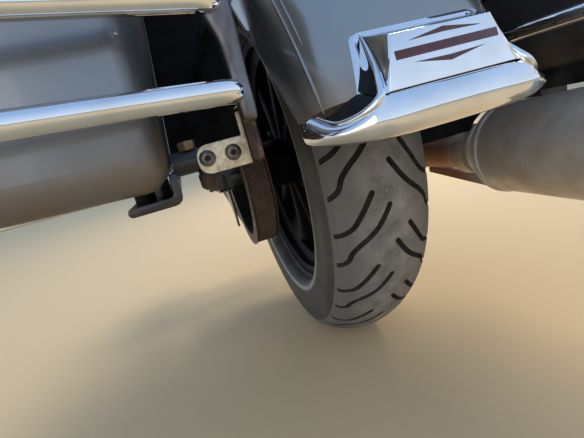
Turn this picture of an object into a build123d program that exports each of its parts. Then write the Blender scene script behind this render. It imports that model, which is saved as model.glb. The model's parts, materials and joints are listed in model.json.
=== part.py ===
"""Rear end of a touring motorcycle: swingarm, belt-driven wheel, fender, saddlebags with guard rails."""

from build123d import *
from math import acos, atan2, cos, degrees, pi, radians, sin, sqrt
import os

# Frame: +X forward, +Y to the rider's left, +Z up, millimetres.
# Origin: centre of the swingarm pivot, on the middle plane of the wheel.
PIVOT_TO_AXLE = 510.0
AXLE_DROP = 25.0
AXLE_X = -PIVOT_TO_AXLE
AXLE_Z = -AXLE_DROP

# Clearances
SEAT_GAP = 0.3
RUNNING_GAP = 0.05
PIN_GAP = 0.08
SEAL_GAP = 0.5

# Tyre and rim, 16 inch
TYRE_RADIUS = 320.0
TYRE_HALF_WIDTH = 71.0
TREAD_HALF_WIDTH = 62.0
TREAD_DROP = 22.5
CASING_THICKNESS = 12.0
SIDEWALL_THICKNESS = 9.0
BEAD_WIDTH = 13.0
CROWN_SHARE = 0.24
BEAD_SEAT_RADIUS = 203.2
RIM_HALF_WIDTH = 38.0
FLANGE_RADIUS = 217.0
FLANGE_THICKNESS = 8.0
RIM_WALL = 5.5
WELL_RADIUS = 187.0
WELL_HALF_WIDTH = 22.0
SPOKE_COUNT = 9
SPOKE_ROOT = (30.0, 58.0)
SPOKE_TIP = (22.0, 38.0)
HUB_RADIUS = 42.0
HUB_FLANGE_RADIUS = 62.0
HUB_LEFT = 89.0
HUB_RIGHT = -82.0
HUB_FLANGE_THICKNESS = 9.0
HUB_BORE_CLEARANCE = 3.5

# Axle and bearings
AXLE_RADIUS = 12.7
BEARING_RADIUS = 26.0
BEARING_WIDTH = 15.0
AXLE_HEAD_ACROSS = 34.0
AXLE_HEAD_THICKNESS = 12.0
WASHER_THICKNESS = 3.0
WASHER_RADIUS = 20.0
SPACER_RADIUS = 18.0

# Belt drive
TOOTH_COUNT = 68
PULLEY_TIP_RADIUS = 122.0
TOOTH_HEIGHT = 4.2
LIP_RADIUS = 129.0
LIP_THICKNESS = 2.4
PULLEY_OUTER_FACE = 128.0
PULLEY_WEB_THICKNESS = 9.0
PULLEY_WINDOWS = 8
PULLEY_WINDOW_RADIUS = 15.0
PULLEY_WINDOW_CIRCLE = 84.0
BELT_THICKNESS = 4.6
BELT_SIDE_GAP = 0.8
FIRST_TOOTH = 36.0
FRONT_WRAP_RADIUS = 57.0
FRONT_WRAP_X = 585.0
FRONT_WRAP_Z = 30.0

# Rear brake
DISC_RADIUS = 146.0
DISC_RING_WIDTH = 46.0
DISC_THICKNESS = 5.0
DISC_HOLE_RADIUS = 3.6
CALIPER_ANGLE = 32.0
CALIPER_HALF_LENGTH = 62.0
CALIPER_DEPTH = 84.0
CALIPER_REACH = 130.0
CALIPER_ROUND = 14.0
CALIPER_SIDE = 16.0
PAD_GAP = 1.0
CARRIER_THICKNESS = 8.0
CARRIER_EYE_RADIUS = 26.0
CARRIER_PAD = (50.0, 90.0)
CARRIER_PAD_REACH = 120.0

# Belt guard, hanging under the left arm
GUARD_PLATE_Y = 148.0
GUARD_PLATE_THICKNESS = 3.0
GUARD_PLATE_TIP = (-63.0, -78.0)
GUARD_PLATE_FRONT = -6.0

# Swingarm
ARM_INNER = 138.0
ARM_OUTER = 162.0
ARM_HEIGHT_FRONT = 60.0
ARM_HEIGHT_REAR = 48.0
ARM_TAIL = 46.0
ARM_TAIL_DROP = 4.0
ARM_TAIL_ROUND = 8.0
ARM_TAPER_END = 70.0
PIVOT_BORE_RADIUS = 15.0
PIVOT_HOUSING_RADIUS = 31.0
PIVOT_OVERHANG = 6.0
PIVOT_LENGTH = 2 * (ARM_OUTER + PIVOT_OVERHANG)
CROSS_TUBE_X = -100.0
CROSS_TUBE_RADIUS = 24.0

# Fender, around the axle
FENDER_RADIUS = 385.0
FENDER_HALF_WIDTH = 100.0
FENDER_WALL = 3.0
FENDER_CROWN = 45.0
SKIRT_RADIUS = 300.0
FENDER_FRONT_ANGLE = 40.0
FENDER_TANGENT_ANGLE = 120.0
SKIRT_TANGENT_ANGLE = 135.0
FENDER_REAR = (-432.0, 60.0)
SKIRT_REAR = (-368.0, 52.0)

# Chrome fender tip
TIP_WALL = 3.0
TIP_FRONT = -402.0
LIP_BOTTOM = 24.5
LIP_WIDEST = 38.0
LIP_SHOULDER = 48.0
LIP_TOP = 56.0
PANEL_BASE = 54.0
PANEL_TOP = 96.0
GROOVE_HEIGHT = 1.6
GROOVE_DEPTH = 5.0
FLANGE_SKIN = 1.8
FLANGE_BASE = (70.0, 50.0)
FLANGE_PEAK = (57.0, 112.0)

# Tail lamp
LAMP_DROP = 89.0
LAMP_SETBACK = 40.0
LAMP_Z = FENDER_RADIUS - LAMP_DROP
LAMP_REAR = LAMP_SETBACK - FENDER_RADIUS
LAMP_SIZE = (108.0, 62.0)
LAMP_ROUND = 20.0
LENS_DEPTH = 16.0
LENS_RIM = 2.0

# Saddlebags, left one
BAG_REAR = -430.0
BAG_FRONT = 120.0
BAG_BOTTOM = 31.0
BAG_BOTTOM_RISE = 8.0
BAG_TOP = 300.0
LID_TOP = 365.0
BAG_INNER_BOTTOM = 220.0
BAG_INNER_TOP = 188.0
BAG_OUTER_BOTTOM = 405.0
BAG_OUTER_TOP = 452.0
LID_OUTER_TOP = 436.0
BAG_WALL = 4.0
BAG_BOTTOM_ROUND = 20.0
BAG_END_ROUND = 25.0
LID_ROUND = 28.0
HINGE_OUTSET = 7.0
HINGE_RADIUS = 6.0
HINGE_PIN_RADIUS = 2.5
HINGE_KNUCKLE = 24.0
HINGE_STATIONS = (-290.0, -20.0)

# Guard rails, left one
RAIL_RADIUS = 8.0
RAIL_LOW_Z = 82.0
RAIL_LOW_RISE = 9.0
RAIL_HIGH_Z = 137.0
RAIL_HIGH_RISE = 13.0
RAIL_INNER_Y = 159.0
RAIL_BEND_Y = 330.0
RAIL_INNER_X = -452.0
RAIL_OUTER_X = -484.0
RAIL_OUTER_Y = 484.0
RAIL_FRONT_X = -120.0
RAIL_ROOT_X = -250.7
RAIL_ROOT_RISE = 6.0
CLOSER_X = -445.0
CLOSER_DEPTH = 12.0
POST_X = -150.0
POST_LEAN = 12.0
FOOT_Z = 25.5
FOOT_RADIUS = 6.0
TAB_REAR = -415.0
TAB_BOTTOM = 34.0
TAB_SIZE = (34.0, 50.0)
TAB_THICKNESS = 3.0
TAB_ROUND = 7.0

# Bag support, left one
SUPPORT_INNER = 216.0
SUPPORT_OUTER = 256.0
SUPPORT_Z = 19.0
SUPPORT_WALL = 4.0
SUPPORT_HEIGHT = 21.0
SUPPORT_REAR = -398.0
SUPPORT_FRONT = 60.0
HANGER_STATIONS = (-245.0, -45.0)
HANGER_WIDTH = 30.0
HANGER_THICKNESS = 5.0
ROOT_PLATE_BOTTOM = 62.0
ROOT_PLATE_TOP = 205.0
ROOT_PLATE_THICKNESS = 5.0
BAG_CLEARANCE = 2.0
PAD_STATIONS = (-340.0, 20.0)
PAD_RADIUS = 9.0
PAD_Y = 247.0

# Stand-off tube on the left support, with the zinc bracket screwed to it
STANDOFF_X = -368.0
STANDOFF_Z = 46.0
STANDOFF_RADIUS = 10.0
STANDOFF_INNER = 154.0
STUD_Y = 191.5
STUD_RADIUS = 5.2
STUD_BOTTOM = 21.0
BRACKET_THICKNESS = 4.0
BRACKET_Y = (154.5, 195.5)
BRACKET_Z = (32.0, 56.0)
BRACKET_ROUND = 10.0
BRACKET_EAR = (152.0, 155.5)
BRACKET_SCREWS = ((187.3, 45.0), (165.8, 44.5))
SCREW_HEAD_RADIUS = 6.0
SCREW_HEAD_THICKNESS = 4.0

# Subframe
SUBFRAME_RAIL_Y = 117.5
SUBFRAME_RAIL_Z = 250.0
SUBFRAME_RAIL_RADIUS = 11.5
SUBFRAME_REAR = -200.0
SUBFRAME_FRONT = 340.0
STRUT_RADIUS = 345.0
STRUT_THICKNESS = 6.0
FLANGE_PLATE = (52.0, 72.0, 8.0)
FLANGE_BOLT_SPACING = 44.0
FLANGE_BOLT_RADIUS = 5.25
CROSS_MEMBER_X = 322.0

# Shock absorbers, left one
SHOCK_Y = 154.0
SHOCK_LOW = (38.0, 52.0)
SHOCK_HIGH = (120.0, 250.0)
SHOCK_BODY_RADIUS = 19.0
SHOCK_SHAFT_RADIUS = 7.0
SHOCK_EYE_RADIUS = 14.0
SHOCK_EYE_WIDTH = 24.0
SHOCK_BOLT_RADIUS = 6.0

# Exhaust, on the right
MUFFLER_Y = -215.0
MUFFLER_Z = -48.0
MUFFLER_FRONT_RADIUS = 58.0
MUFFLER_REAR_RADIUS = 66.0
MUFFLER_REAR = -500.0
MUFFLER_END_ROUND = 16.0
MUFFLER_SHOULDER = -255.0
OUTLET_RADIUS = 30.0
OUTLET_DEPTH = 90.0
COLLAR_RADIUS = 34.0
CLAMP_FRONT = -186.0
CLAMP_REAR = -208.0
CLAMP_THICKNESS = 3.0
STRAP_WIDTH = 12.0
STRAP_FRONT = -76.0
STRAP_REAR = -230.0
PIPE_RADIUS = 30.0
PIPE_WALL = 2.0
PIPE_OPEN_LENGTH = 90.0
PIPE_BEND_RADIUS = 150.0
PIPE_RUN = (60.0, 250.0, 420.0)
PIPE_SHIFT_IN = 20.0
PIPE_DROP = 65.0
SADDLE_REAR = -320.0
SADDLE_LENGTH = 40.0
SADDLE_HEIGHT = 30.0

SIDE = Plane(origin=(AXLE_X, 0, AXLE_Z), x_dir=(1, 0, 0), z_dir=(0, -1, 0))
ACROSS = Plane(origin=(AXLE_X, 0, AXLE_Z), x_dir=(0, 1, 0), z_dir=(1, 0, 0))
PLAN = Plane(origin=(AXLE_X, 0, AXLE_Z))
AXLE = Axis((AXLE_X, 0, AXLE_Z), (0, 1, 0))
MIDDLE = Plane.XZ

os.makedirs("parts", exist_ok=True)


def at_axle(x, y, z):
    """A point given from the wheel's centre."""
    return Vector(AXLE_X + x, y, AXLE_Z + z)


def around(radius, angle):
    """Side-view place at an angle from forward, about the axle."""
    return (radius * cos(radians(angle)), radius * sin(radians(angle)))


def save(part, label):
    """Label a finished piece and write it."""
    part.label = label
    export_step(part, f"parts/{label}.step")


def save_pair(part, label):
    """Write a left piece and its mirror image on the right."""
    with BuildPart() as opposite:
        mirror(part, about=MIDDLE)
    save(part, f"{label}_left")
    save(opposite.part, f"{label}_right")


# Tyre: an open casing that bulges past the rim, with a round tread.
flange_outer = RIM_HALF_WIDTH + FLANGE_THICKNESS
flange_clear = FLANGE_RADIUS + 2 * SEAT_GAP
bead_inner = RIM_HALF_WIDTH - SEAT_GAP
bead_radius = BEAD_SEAT_RADIUS + SEAT_GAP
tread_edge = (TREAD_HALF_WIDTH, TYRE_RADIUS - TREAD_DROP)
sidewall_foot = (flange_outer, flange_clear + 5)
widest = (tread_edge[1] + sidewall_foot[1]) / 2
inner_crown = TYRE_RADIUS - CASING_THICKNESS
inner_shoulder = (TREAD_HALF_WIDTH - CASING_THICKNESS, tread_edge[1] - CASING_THICKNESS / 2)
inner_foot = (bead_inner - BEAD_WIDTH + 2, bead_radius + BEAD_WIDTH + 1)
inner_drop = inner_crown - inner_shoulder[1]
with BuildPart() as tyre:
    with BuildSketch(ACROSS):
        with BuildLine():
            tread_mid = (TREAD_HALF_WIDTH / 2, TYRE_RADIUS - TREAD_DROP * CROWN_SHARE)
            ThreePointArc((0, TYRE_RADIUS), tread_mid, tread_edge)
            ThreePointArc(tread_edge, (TYRE_HALF_WIDTH, widest), sidewall_foot)
            Polyline(
                sidewall_foot,
                (flange_outer - 2, flange_clear),
                (bead_inner, flange_clear),
                (bead_inner, bead_radius),
                (bead_inner - BEAD_WIDTH, bead_radius),
                inner_foot,
            )
            ThreePointArc(inner_foot, (TYRE_HALF_WIDTH - SIDEWALL_THICKNESS, widest), inner_shoulder)
            inner_mid = (inner_shoulder[0] / 2, inner_crown - inner_drop * CROWN_SHARE)
            ThreePointArc(inner_shoulder, inner_mid, (0, inner_crown))
            mirror(about=Plane.YZ)
        make_face()
    revolve(axis=AXLE)
save(tyre.part, "tyre")

# Cast wheel: drop-centre rim, hub with two bearing seats, and tapering spokes between them.
bore_radius = AXLE_RADIUS + HUB_BORE_CLEARANCE
with BuildPart() as wheel_rim:
    with BuildSketch(ACROSS):
        with BuildLine():
            Polyline(
                (0, WELL_RADIUS),
                (WELL_HALF_WIDTH, WELL_RADIUS),
                (WELL_HALF_WIDTH + 5, BEAD_SEAT_RADIUS),
                (RIM_HALF_WIDTH, BEAD_SEAT_RADIUS),
                (RIM_HALF_WIDTH, FLANGE_RADIUS - 3),
                (RIM_HALF_WIDTH + 2.5, FLANGE_RADIUS),
                (flange_outer - 2, FLANGE_RADIUS),
                (flange_outer, FLANGE_RADIUS - 2.5),
                (flange_outer, BEAD_SEAT_RADIUS + 3),
                (flange_outer - 3, BEAD_SEAT_RADIUS - RIM_WALL + 0.5),
                (RIM_HALF_WIDTH - 7, BEAD_SEAT_RADIUS - RIM_WALL),
                (WELL_HALF_WIDTH + 3, WELL_RADIUS - RIM_WALL),
                (0, WELL_RADIUS - RIM_WALL),
            )
            mirror(about=Plane.YZ)
        make_face()
    with BuildSketch(ACROSS):
        with BuildLine():
            Polyline(
                (HUB_RIGHT, BEARING_RADIUS),
                (HUB_RIGHT, HUB_FLANGE_RADIUS),
                (HUB_RIGHT + HUB_FLANGE_THICKNESS, HUB_FLANGE_RADIUS),
                (HUB_RIGHT + HUB_FLANGE_THICKNESS + 8, HUB_RADIUS),
                (HUB_LEFT - HUB_FLANGE_THICKNESS - 8, HUB_RADIUS),
                (HUB_LEFT - HUB_FLANGE_THICKNESS, HUB_FLANGE_RADIUS),
                (HUB_LEFT, HUB_FLANGE_RADIUS),
                (HUB_LEFT, BEARING_RADIUS),
                (HUB_LEFT - BEARING_WIDTH, BEARING_RADIUS),
                (HUB_LEFT - BEARING_WIDTH, bore_radius),
                (HUB_RIGHT + BEARING_WIDTH, bore_radius),
                (HUB_RIGHT + BEARING_WIDTH, BEARING_RADIUS),
                close=True,
            )
        make_face()
    revolve(axis=AXLE)
    for index in range(SPOKE_COUNT):
        turn = radians(360 * index / SPOKE_COUNT + 90)
        outward = Vector(cos(turn), 0, sin(turn))
        for reach, (across, deep) in (
            (HUB_RADIUS - 6, SPOKE_ROOT),
            (WELL_RADIUS - RIM_WALL + 2, SPOKE_TIP),
        ):
            foot = at_axle(0, 0, 0) + outward * reach
            with BuildSketch(Plane(origin=foot, x_dir=(0, 1, 0), z_dir=outward)):
                RectangleRounded(deep, across, across * 0.3)
        loft()
save(wheel_rim.part, "wheel_rim")

# Sealed bearings, one at each end of the hub, running on the axle.
with BuildPart() as wheel_bearings:
    for inner_face in (HUB_LEFT - BEARING_WIDTH, HUB_RIGHT):
        with BuildSketch(ACROSS):
            with Locations((inner_face + BEARING_WIDTH / 2, 0)):
                with Locations((0, (BEARING_RADIUS + AXLE_RADIUS + RUNNING_GAP) / 2)):
                    Rectangle(BEARING_WIDTH, BEARING_RADIUS - AXLE_RADIUS - RUNNING_GAP)
    revolve(axis=AXLE)
save(wheel_bearings.part, "wheel_bearings")

# Rear pulley: toothed rim between two lips, on a windowed web.
groove_radius = PULLEY_TIP_RADIUS - TOOTH_HEIGHT
groove_width = 2 * pi * PULLEY_TIP_RADIUS / TOOTH_COUNT * 0.52
belt_left = PULLEY_OUTER_FACE - LIP_THICKNESS - BELT_SIDE_GAP
belt_right = HUB_LEFT + LIP_THICKNESS + BELT_SIDE_GAP
with BuildPart() as rear_pulley:
    with BuildSketch(ACROSS):
        with BuildLine():
            Polyline(
                (HUB_LEFT, AXLE_RADIUS + 14),
                (HUB_LEFT, LIP_RADIUS),
                (HUB_LEFT + LIP_THICKNESS, LIP_RADIUS),
                (HUB_LEFT + LIP_THICKNESS, PULLEY_TIP_RADIUS),
                (PULLEY_OUTER_FACE - LIP_THICKNESS, PULLEY_TIP_RADIUS),
                (PULLEY_OUTER_FACE - LIP_THICKNESS, LIP_RADIUS),
                (PULLEY_OUTER_FACE, LIP_RADIUS),
                (PULLEY_OUTER_FACE, groove_radius - 8),
                (HUB_LEFT + PULLEY_WEB_THICKNESS + 4, groove_radius - 12),
                (HUB_LEFT + PULLEY_WEB_THICKNESS, groove_radius - 18),
                (HUB_LEFT + PULLEY_WEB_THICKNESS, AXLE_RADIUS + 14),
                close=True,
            )
        make_face()
    revolve(axis=AXLE)
    with BuildSketch(SIDE.offset(-(PULLEY_OUTER_FACE - LIP_THICKNESS))):
        with PolarLocations(groove_radius + TOOTH_HEIGHT, TOOTH_COUNT):
            Trapezoid(2 * TOOTH_HEIGHT, groove_width, 75, rotation=90)
    extrude(amount=PULLEY_OUTER_FACE - HUB_LEFT - 2 * LIP_THICKNESS, mode=Mode.SUBTRACT)
    with BuildSketch(SIDE.offset(-(HUB_LEFT + PULLEY_WEB_THICKNESS + 5))):
        with PolarLocations(PULLEY_WINDOW_CIRCLE, PULLEY_WINDOWS):
            Circle(PULLEY_WINDOW_RADIUS)
    extrude(amount=PULLEY_WEB_THICKNESS + 6, mode=Mode.SUBTRACT)
save(rear_pulley.part, "rear_pulley")

# Brake disc on the right end of the hub: drilled ring on a five-armed carrier.
disc_face = HUB_RIGHT - DISC_THICKNESS
ring_inner = DISC_RADIUS - DISC_RING_WIDTH
with BuildPart() as brake_disc:
    with BuildSketch(SIDE.offset(-HUB_RIGHT)):
        Circle(DISC_RADIUS)
        Circle(AXLE_RADIUS + 22, mode=Mode.SUBTRACT)
        with PolarLocations((HUB_FLANGE_RADIUS + ring_inner) / 2, 10):
            SlotOverall(30, 17, rotation=90, mode=Mode.SUBTRACT)
        for ring, offset_angle in ((0.22, 0), (0.5, 6), (0.78, 12)):
            with PolarLocations(ring_inner + DISC_RING_WIDTH * ring, 20, offset_angle):
                Circle(DISC_HOLE_RADIUS, mode=Mode.SUBTRACT)
    extrude(amount=DISC_THICKNESS)
save(brake_disc.part, "brake_disc")

# Axle with its head on the right, nut and washer on the left.
with BuildPart() as axle:
    with BuildSketch(SIDE.offset(-(ARM_OUTER + WASHER_THICKNESS + AXLE_HEAD_THICKNESS + 4))):
        Circle(AXLE_RADIUS)
    extrude(amount=2 * ARM_OUTER + WASHER_THICKNESS + AXLE_HEAD_THICKNESS + 4)
    with BuildSketch(SIDE.offset(ARM_OUTER)):
        Circle(WASHER_RADIUS)
    extrude(amount=WASHER_THICKNESS)
    with BuildSketch(SIDE.offset(ARM_OUTER + WASHER_THICKNESS)):
        RegularPolygon(AXLE_HEAD_ACROSS / 2, 6, major_radius=False)
    extrude(amount=AXLE_HEAD_THICKNESS)
    chamfer(axle.faces().sort_by(Axis.Y)[0].edges(), 1.5)
save(axle.part, "axle")

with BuildPart() as axle_nut:
    with BuildSketch(SIDE.offset(-(ARM_OUTER + WASHER_THICKNESS))):
        Circle(WASHER_RADIUS)
        Circle(AXLE_RADIUS + SEAT_GAP, mode=Mode.SUBTRACT)
    extrude(amount=WASHER_THICKNESS)
    with BuildSketch(SIDE.offset(-(ARM_OUTER + WASHER_THICKNESS + AXLE_HEAD_THICKNESS))):
        RegularPolygon(AXLE_HEAD_ACROSS / 2, 6, major_radius=False)
        Circle(AXLE_RADIUS + SEAT_GAP, mode=Mode.SUBTRACT)
    extrude(amount=AXLE_HEAD_THICKNESS)
    chamfer(axle_nut.faces().sort_by(Axis.Y)[-1].outer_wire().edges(), 1.5)
save(axle_nut.part, "axle_nut")

# Spacers between the arms and the bearings.
carrier_outer = ARM_INNER - SEAT_GAP
carrier_inner = carrier_outer - CARRIER_THICKNESS
with BuildPart() as axle_spacers:
    for start, stop in (
        (HUB_LEFT + SEAT_GAP, ARM_INNER),
        (-carrier_inner + SEAT_GAP, HUB_RIGHT - SEAT_GAP),
    ):
        with BuildSketch(SIDE.offset(-stop)):
            Circle(SPACER_RADIUS)
            Circle(AXLE_RADIUS + SEAT_GAP, mode=Mode.SUBTRACT)
        extrude(amount=stop - start)
save(axle_spacers.part, "axle_spacers")

# Drive belt: a closed loop from the rear pulley round the gearbox pulley's place. Its two straight runs
# carry teeth inside and meet the two wraps face to face where the belt leaves its pulleys.
belt_inner = PULLEY_TIP_RADIUS + SEAT_GAP
span = sqrt(FRONT_WRAP_X**2 + FRONT_WRAP_Z**2)
lean = atan2(FRONT_WRAP_Z, FRONT_WRAP_X)
splay = acos((belt_inner - FRONT_WRAP_RADIUS) / span)
run_length = span * sin(splay)
pitch = 2 * pi * PULLEY_TIP_RADIUS / TOOTH_COUNT
belt_width = belt_left - belt_right
tooth_count = int((run_length - FIRST_TOOTH) / pitch)
for side, label in ((1, "belt_upper_run"), (-1, "belt_lower_run")):
    angle = lean + side * splay
    normal = Vector(cos(angle), sin(angle))
    along = Vector(side * sin(angle), -side * cos(angle))
    with BuildPart() as belt_run:
        with BuildSketch(SIDE.offset(-belt_left)):
            middle = normal * (belt_inner + BELT_THICKNESS / 2) + along * (run_length / 2)
            with Locations(Location((middle.X, middle.Y, 0), (0, 0, degrees(angle)))):
                Rectangle(BELT_THICKNESS, run_length)
            for tooth in range(tooth_count):
                foot = normal * (belt_inner - TOOTH_HEIGHT / 2 + 0.1) + along * (FIRST_TOOTH + tooth * pitch)
                with Locations(Location((foot.X, foot.Y, 0), (0, 0, degrees(angle)))):
                    Rectangle(TOOTH_HEIGHT, pitch * 0.45)
        extrude(amount=belt_width)
    save(belt_run.part, label)

front_centre = (FRONT_WRAP_X, FRONT_WRAP_Z)
rear_start, rear_turn = degrees(lean + splay), 360 - 2 * degrees(splay)
front_start, front_turn = degrees(lean - splay), 2 * degrees(splay)
for label, centre, inner, start, turn in (
    ("belt_rear_wrap", (0, 0), belt_inner, rear_start, rear_turn),
    ("belt_front_wrap", front_centre, FRONT_WRAP_RADIUS, front_start, front_turn),
):
    with BuildPart() as belt_wrap:
        with BuildSketch(SIDE.offset(-belt_left)):
            with BuildLine():
                inside = CenterArc(centre, inner, start, turn)
                outside = CenterArc(centre, inner + BELT_THICKNESS, start, turn)
                Line(inside @ 0, outside @ 0)
                Line(inside @ 1, outside @ 1)
            make_face()
        extrude(amount=belt_width)
    save(belt_wrap.part, label)

# Swingarm: a pivot housing, two tapering arms coped to it, and a cross tube between the arms.
with BuildPart() as swingarm_pivot:
    with BuildSketch(Plane.XZ.offset(-PIVOT_LENGTH / 2)):
        Circle(PIVOT_HOUSING_RADIUS)
        Circle(PIVOT_BORE_RADIUS, mode=Mode.SUBTRACT)
    extrude(amount=PIVOT_LENGTH)
save(swingarm_pivot.part, "swingarm_pivot")

lug_x = AXLE_X + SHOCK_LOW[0]
lug_z = AXLE_Z + SHOCK_LOW[1]
lug_width = 2 * SHOCK_EYE_RADIUS + 6
for label, outer in (("swingarm_left", ARM_OUTER), ("swingarm_right", -ARM_INNER)):
    with BuildPart() as arm:
        with BuildSketch(Plane.XZ.offset(-outer)):
            with BuildLine():
                Polyline(
                    (0, ARM_HEIGHT_FRONT / 2),
                    (AXLE_X + ARM_TAPER_END, AXLE_Z + ARM_HEIGHT_REAR / 2),
                    (AXLE_X - ARM_TAIL, AXLE_Z + ARM_HEIGHT_REAR / 2 - ARM_TAIL_DROP),
                    (AXLE_X - ARM_TAIL, AXLE_Z - ARM_HEIGHT_REAR / 2 + ARM_TAIL_DROP),
                    (AXLE_X + ARM_TAPER_END, AXLE_Z - ARM_HEIGHT_REAR / 2),
                    (0, -ARM_HEIGHT_FRONT / 2),
                    close=True,
                )
            make_face()
            with Locations((lug_x, lug_z + SHOCK_BOLT_RADIUS - 2)):
                Rectangle(lug_width, SHOCK_LOW[1], align=(Align.CENTER, Align.MAX))
        extrude(amount=ARM_OUTER - ARM_INNER)
        fillet(arm.edges().filter_by(Axis.Y).group_by(Axis.X)[0], ARM_TAIL_ROUND)
        with BuildSketch(Plane.XZ.offset(-ARM_OUTER)):
            Circle(PIVOT_HOUSING_RADIUS + SEAT_GAP)
            with Locations((AXLE_X, AXLE_Z)):
                Circle(AXLE_RADIUS + SEAT_GAP)
            with Locations((lug_x, lug_z)):
                Circle(SHOCK_BOLT_RADIUS + SEAT_GAP)
        extrude(amount=2 * ARM_OUTER, mode=Mode.SUBTRACT)
        shock_side = SHOCK_Y if outer > 0 else -SHOCK_Y
        with BuildSketch(Plane.XZ.offset(-shock_side - SHOCK_EYE_WIDTH / 2 - SEAT_GAP)):
            with Locations((lug_x, lug_z)):
                Rectangle(lug_width + 2, 2 * SHOCK_EYE_RADIUS + 6)
        extrude(amount=SHOCK_EYE_WIDTH + 2 * SEAT_GAP, mode=Mode.SUBTRACT)
    save(arm.part, label)

with BuildPart() as swingarm_cross_tube:
    with BuildSketch(Plane.XZ.offset(-ARM_INNER)):
        with Locations((CROSS_TUBE_X, 0)):
            Circle(CROSS_TUBE_RADIUS)
    extrude(amount=2 * ARM_INNER)
save(swingarm_cross_tube.part, "swingarm_cross_tube")

# Belt guard: a thin plate that hangs from the left arm over the pulley's lower edge.
arm_slope = ARM_TAIL_DROP / (ARM_TAPER_END + ARM_TAIL)
arm_underside = ARM_TAIL_DROP - ARM_HEIGHT_REAR / 2 - SEAT_GAP
guard_back = -ARM_TAIL - 3
with BuildPart() as belt_guard:
    with BuildSketch(SIDE.offset(-GUARD_PLATE_Y - GUARD_PLATE_THICKNESS)):
        with BuildLine():
            Polyline(
                (GUARD_PLATE_FRONT, arm_underside - arm_slope * (GUARD_PLATE_FRONT + ARM_TAIL)),
                (guard_back, arm_underside - arm_slope * (guard_back + ARM_TAIL)),
                (guard_back, 8),
                (guard_back - 11, 4),
                (guard_back - 28, -32),
                (GUARD_PLATE_TIP[0] - 5, GUARD_PLATE_TIP[1]),
                (GUARD_PLATE_TIP[0] + 5, GUARD_PLATE_TIP[1]),
                (guard_back - 3, -58),
                close=True,
            )
        make_face()
    extrude(amount=GUARD_PLATE_THICKNESS)
save(belt_guard.part, "belt_guard")


def fender_body(inset, open_below):
    """The space under the fender's outer surface moved in by a distance, closed at the skirt or open."""
    top = FENDER_RADIUS - inset
    join_in = around(-1, FENDER_TANGENT_ANGLE)
    join_out = around(FENDER_RADIUS, FENDER_TANGENT_ANGLE)
    to_rear = (FENDER_REAR[0] - join_out[0], FENDER_REAR[1] - join_out[1])
    reach = to_rear[0] ** 2 + to_rear[1] ** 2
    flare = reach / 2 / (to_rear[0] * join_in[0] + to_rear[1] * join_in[1])
    centre = (join_out[0] + flare * join_in[0], join_out[1] + flare * join_in[1])
    rear_angle = atan2(FENDER_REAR[1] - centre[1], FENDER_REAR[0] - centre[0])
    front_angle = FENDER_FRONT_ANGLE
    if open_below:
        rear_angle += radians(6)
        front_angle -= 6
    elif inset < 0:
        rear_angle -= 2 * inset / flare
        front_angle += inset / FENDER_RADIUS

    def on_flare(angle, depth=0.0):
        reach = flare - inset - depth
        return (centre[0] + reach * cos(angle), centre[1] + reach * sin(angle))

    join = around(top, FENDER_TANGENT_ANGLE)
    rear = on_flare(rear_angle)
    halfway = on_flare((radians(FENDER_TANGENT_ANGLE) + rear_angle) / 2)
    with BuildPart() as body:
        with BuildSketch(SIDE.offset(-FENDER_HALF_WIDTH + inset)):
            with BuildLine():
                ThreePointArc(around(top, front_angle), (0, top), join)
                ThreePointArc(join, halfway, rear)
                if open_below:
                    Polyline(
                        rear,
                        on_flare(rear_angle, depth=90),
                        around(top - 90, front_angle),
                        around(top, front_angle),
                    )
                else:
                    skirt = (SKIRT_REAR[0], SKIRT_REAR[1] + min(inset, 0))
                    tangent = around(SKIRT_RADIUS, SKIRT_TANGENT_ANGLE)
                    Polyline(rear, skirt, tangent)
                    ThreePointArc(tangent, (0, SKIRT_RADIUS), around(SKIRT_RADIUS, front_angle))
                    Line(around(SKIRT_RADIUS, front_angle), around(top, front_angle))
            make_face()
        extrude(amount=2 * (FENDER_HALF_WIDTH - inset))
        crown = body.faces().filter_by(Axis.Y).edges().filter_by(GeomType.CIRCLE)
        fillet(crown.filter_by(lambda edge: edge.radius > SKIRT_RADIUS + 20), FENDER_CROWN - inset)
    return body.part


# Fender: a pressed shell with a round crown, straight skirts and a tail that flares back.
with BuildPart() as fender:
    add(fender_body(0, open_below=False))
    add(fender_body(FENDER_WALL, open_below=True), mode=Mode.SUBTRACT)
save(fender.part, "fender")


def tip_lip(inset):
    """The bowed lower lip of the fender tip as stacked plan outlines, open below when moved in."""
    sections = (
        (LIP_BOTTOM, -447.0, (-442.0, 62.0), (-424.0, 90.0), 100.0),
        (LIP_WIDEST, -461.0, (-456.0, 66.0), (-438.0, 100.0), 116.0),
        (LIP_SHOULDER, -458.5, (-455.0, 64.0), (-434.0, 98.0), 114.0),
        (LIP_TOP, -453.5, (-451.0, 60.0), (-424.0, 90.0), 106.0),
    )
    with BuildPart() as lip:
        for height, rear, shoulder, corner, end_y in sections:
            level = height - inset if height in (LIP_BOTTOM, LIP_TOP) else height
            left = [(x + inset, y - inset) for x, y in ((rear, inset), shoulder, corner)]
            left.append((TIP_FRONT, end_y - inset))
            right = [(x, -y) for x, y in reversed(left[1:])]
            with BuildSketch(PLAN.offset(level)):
                with BuildLine():
                    outline = Spline(*right, *left)
                    Line(outline @ 0, outline @ 1)
                make_face()
        loft()
    return lip.part


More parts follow.
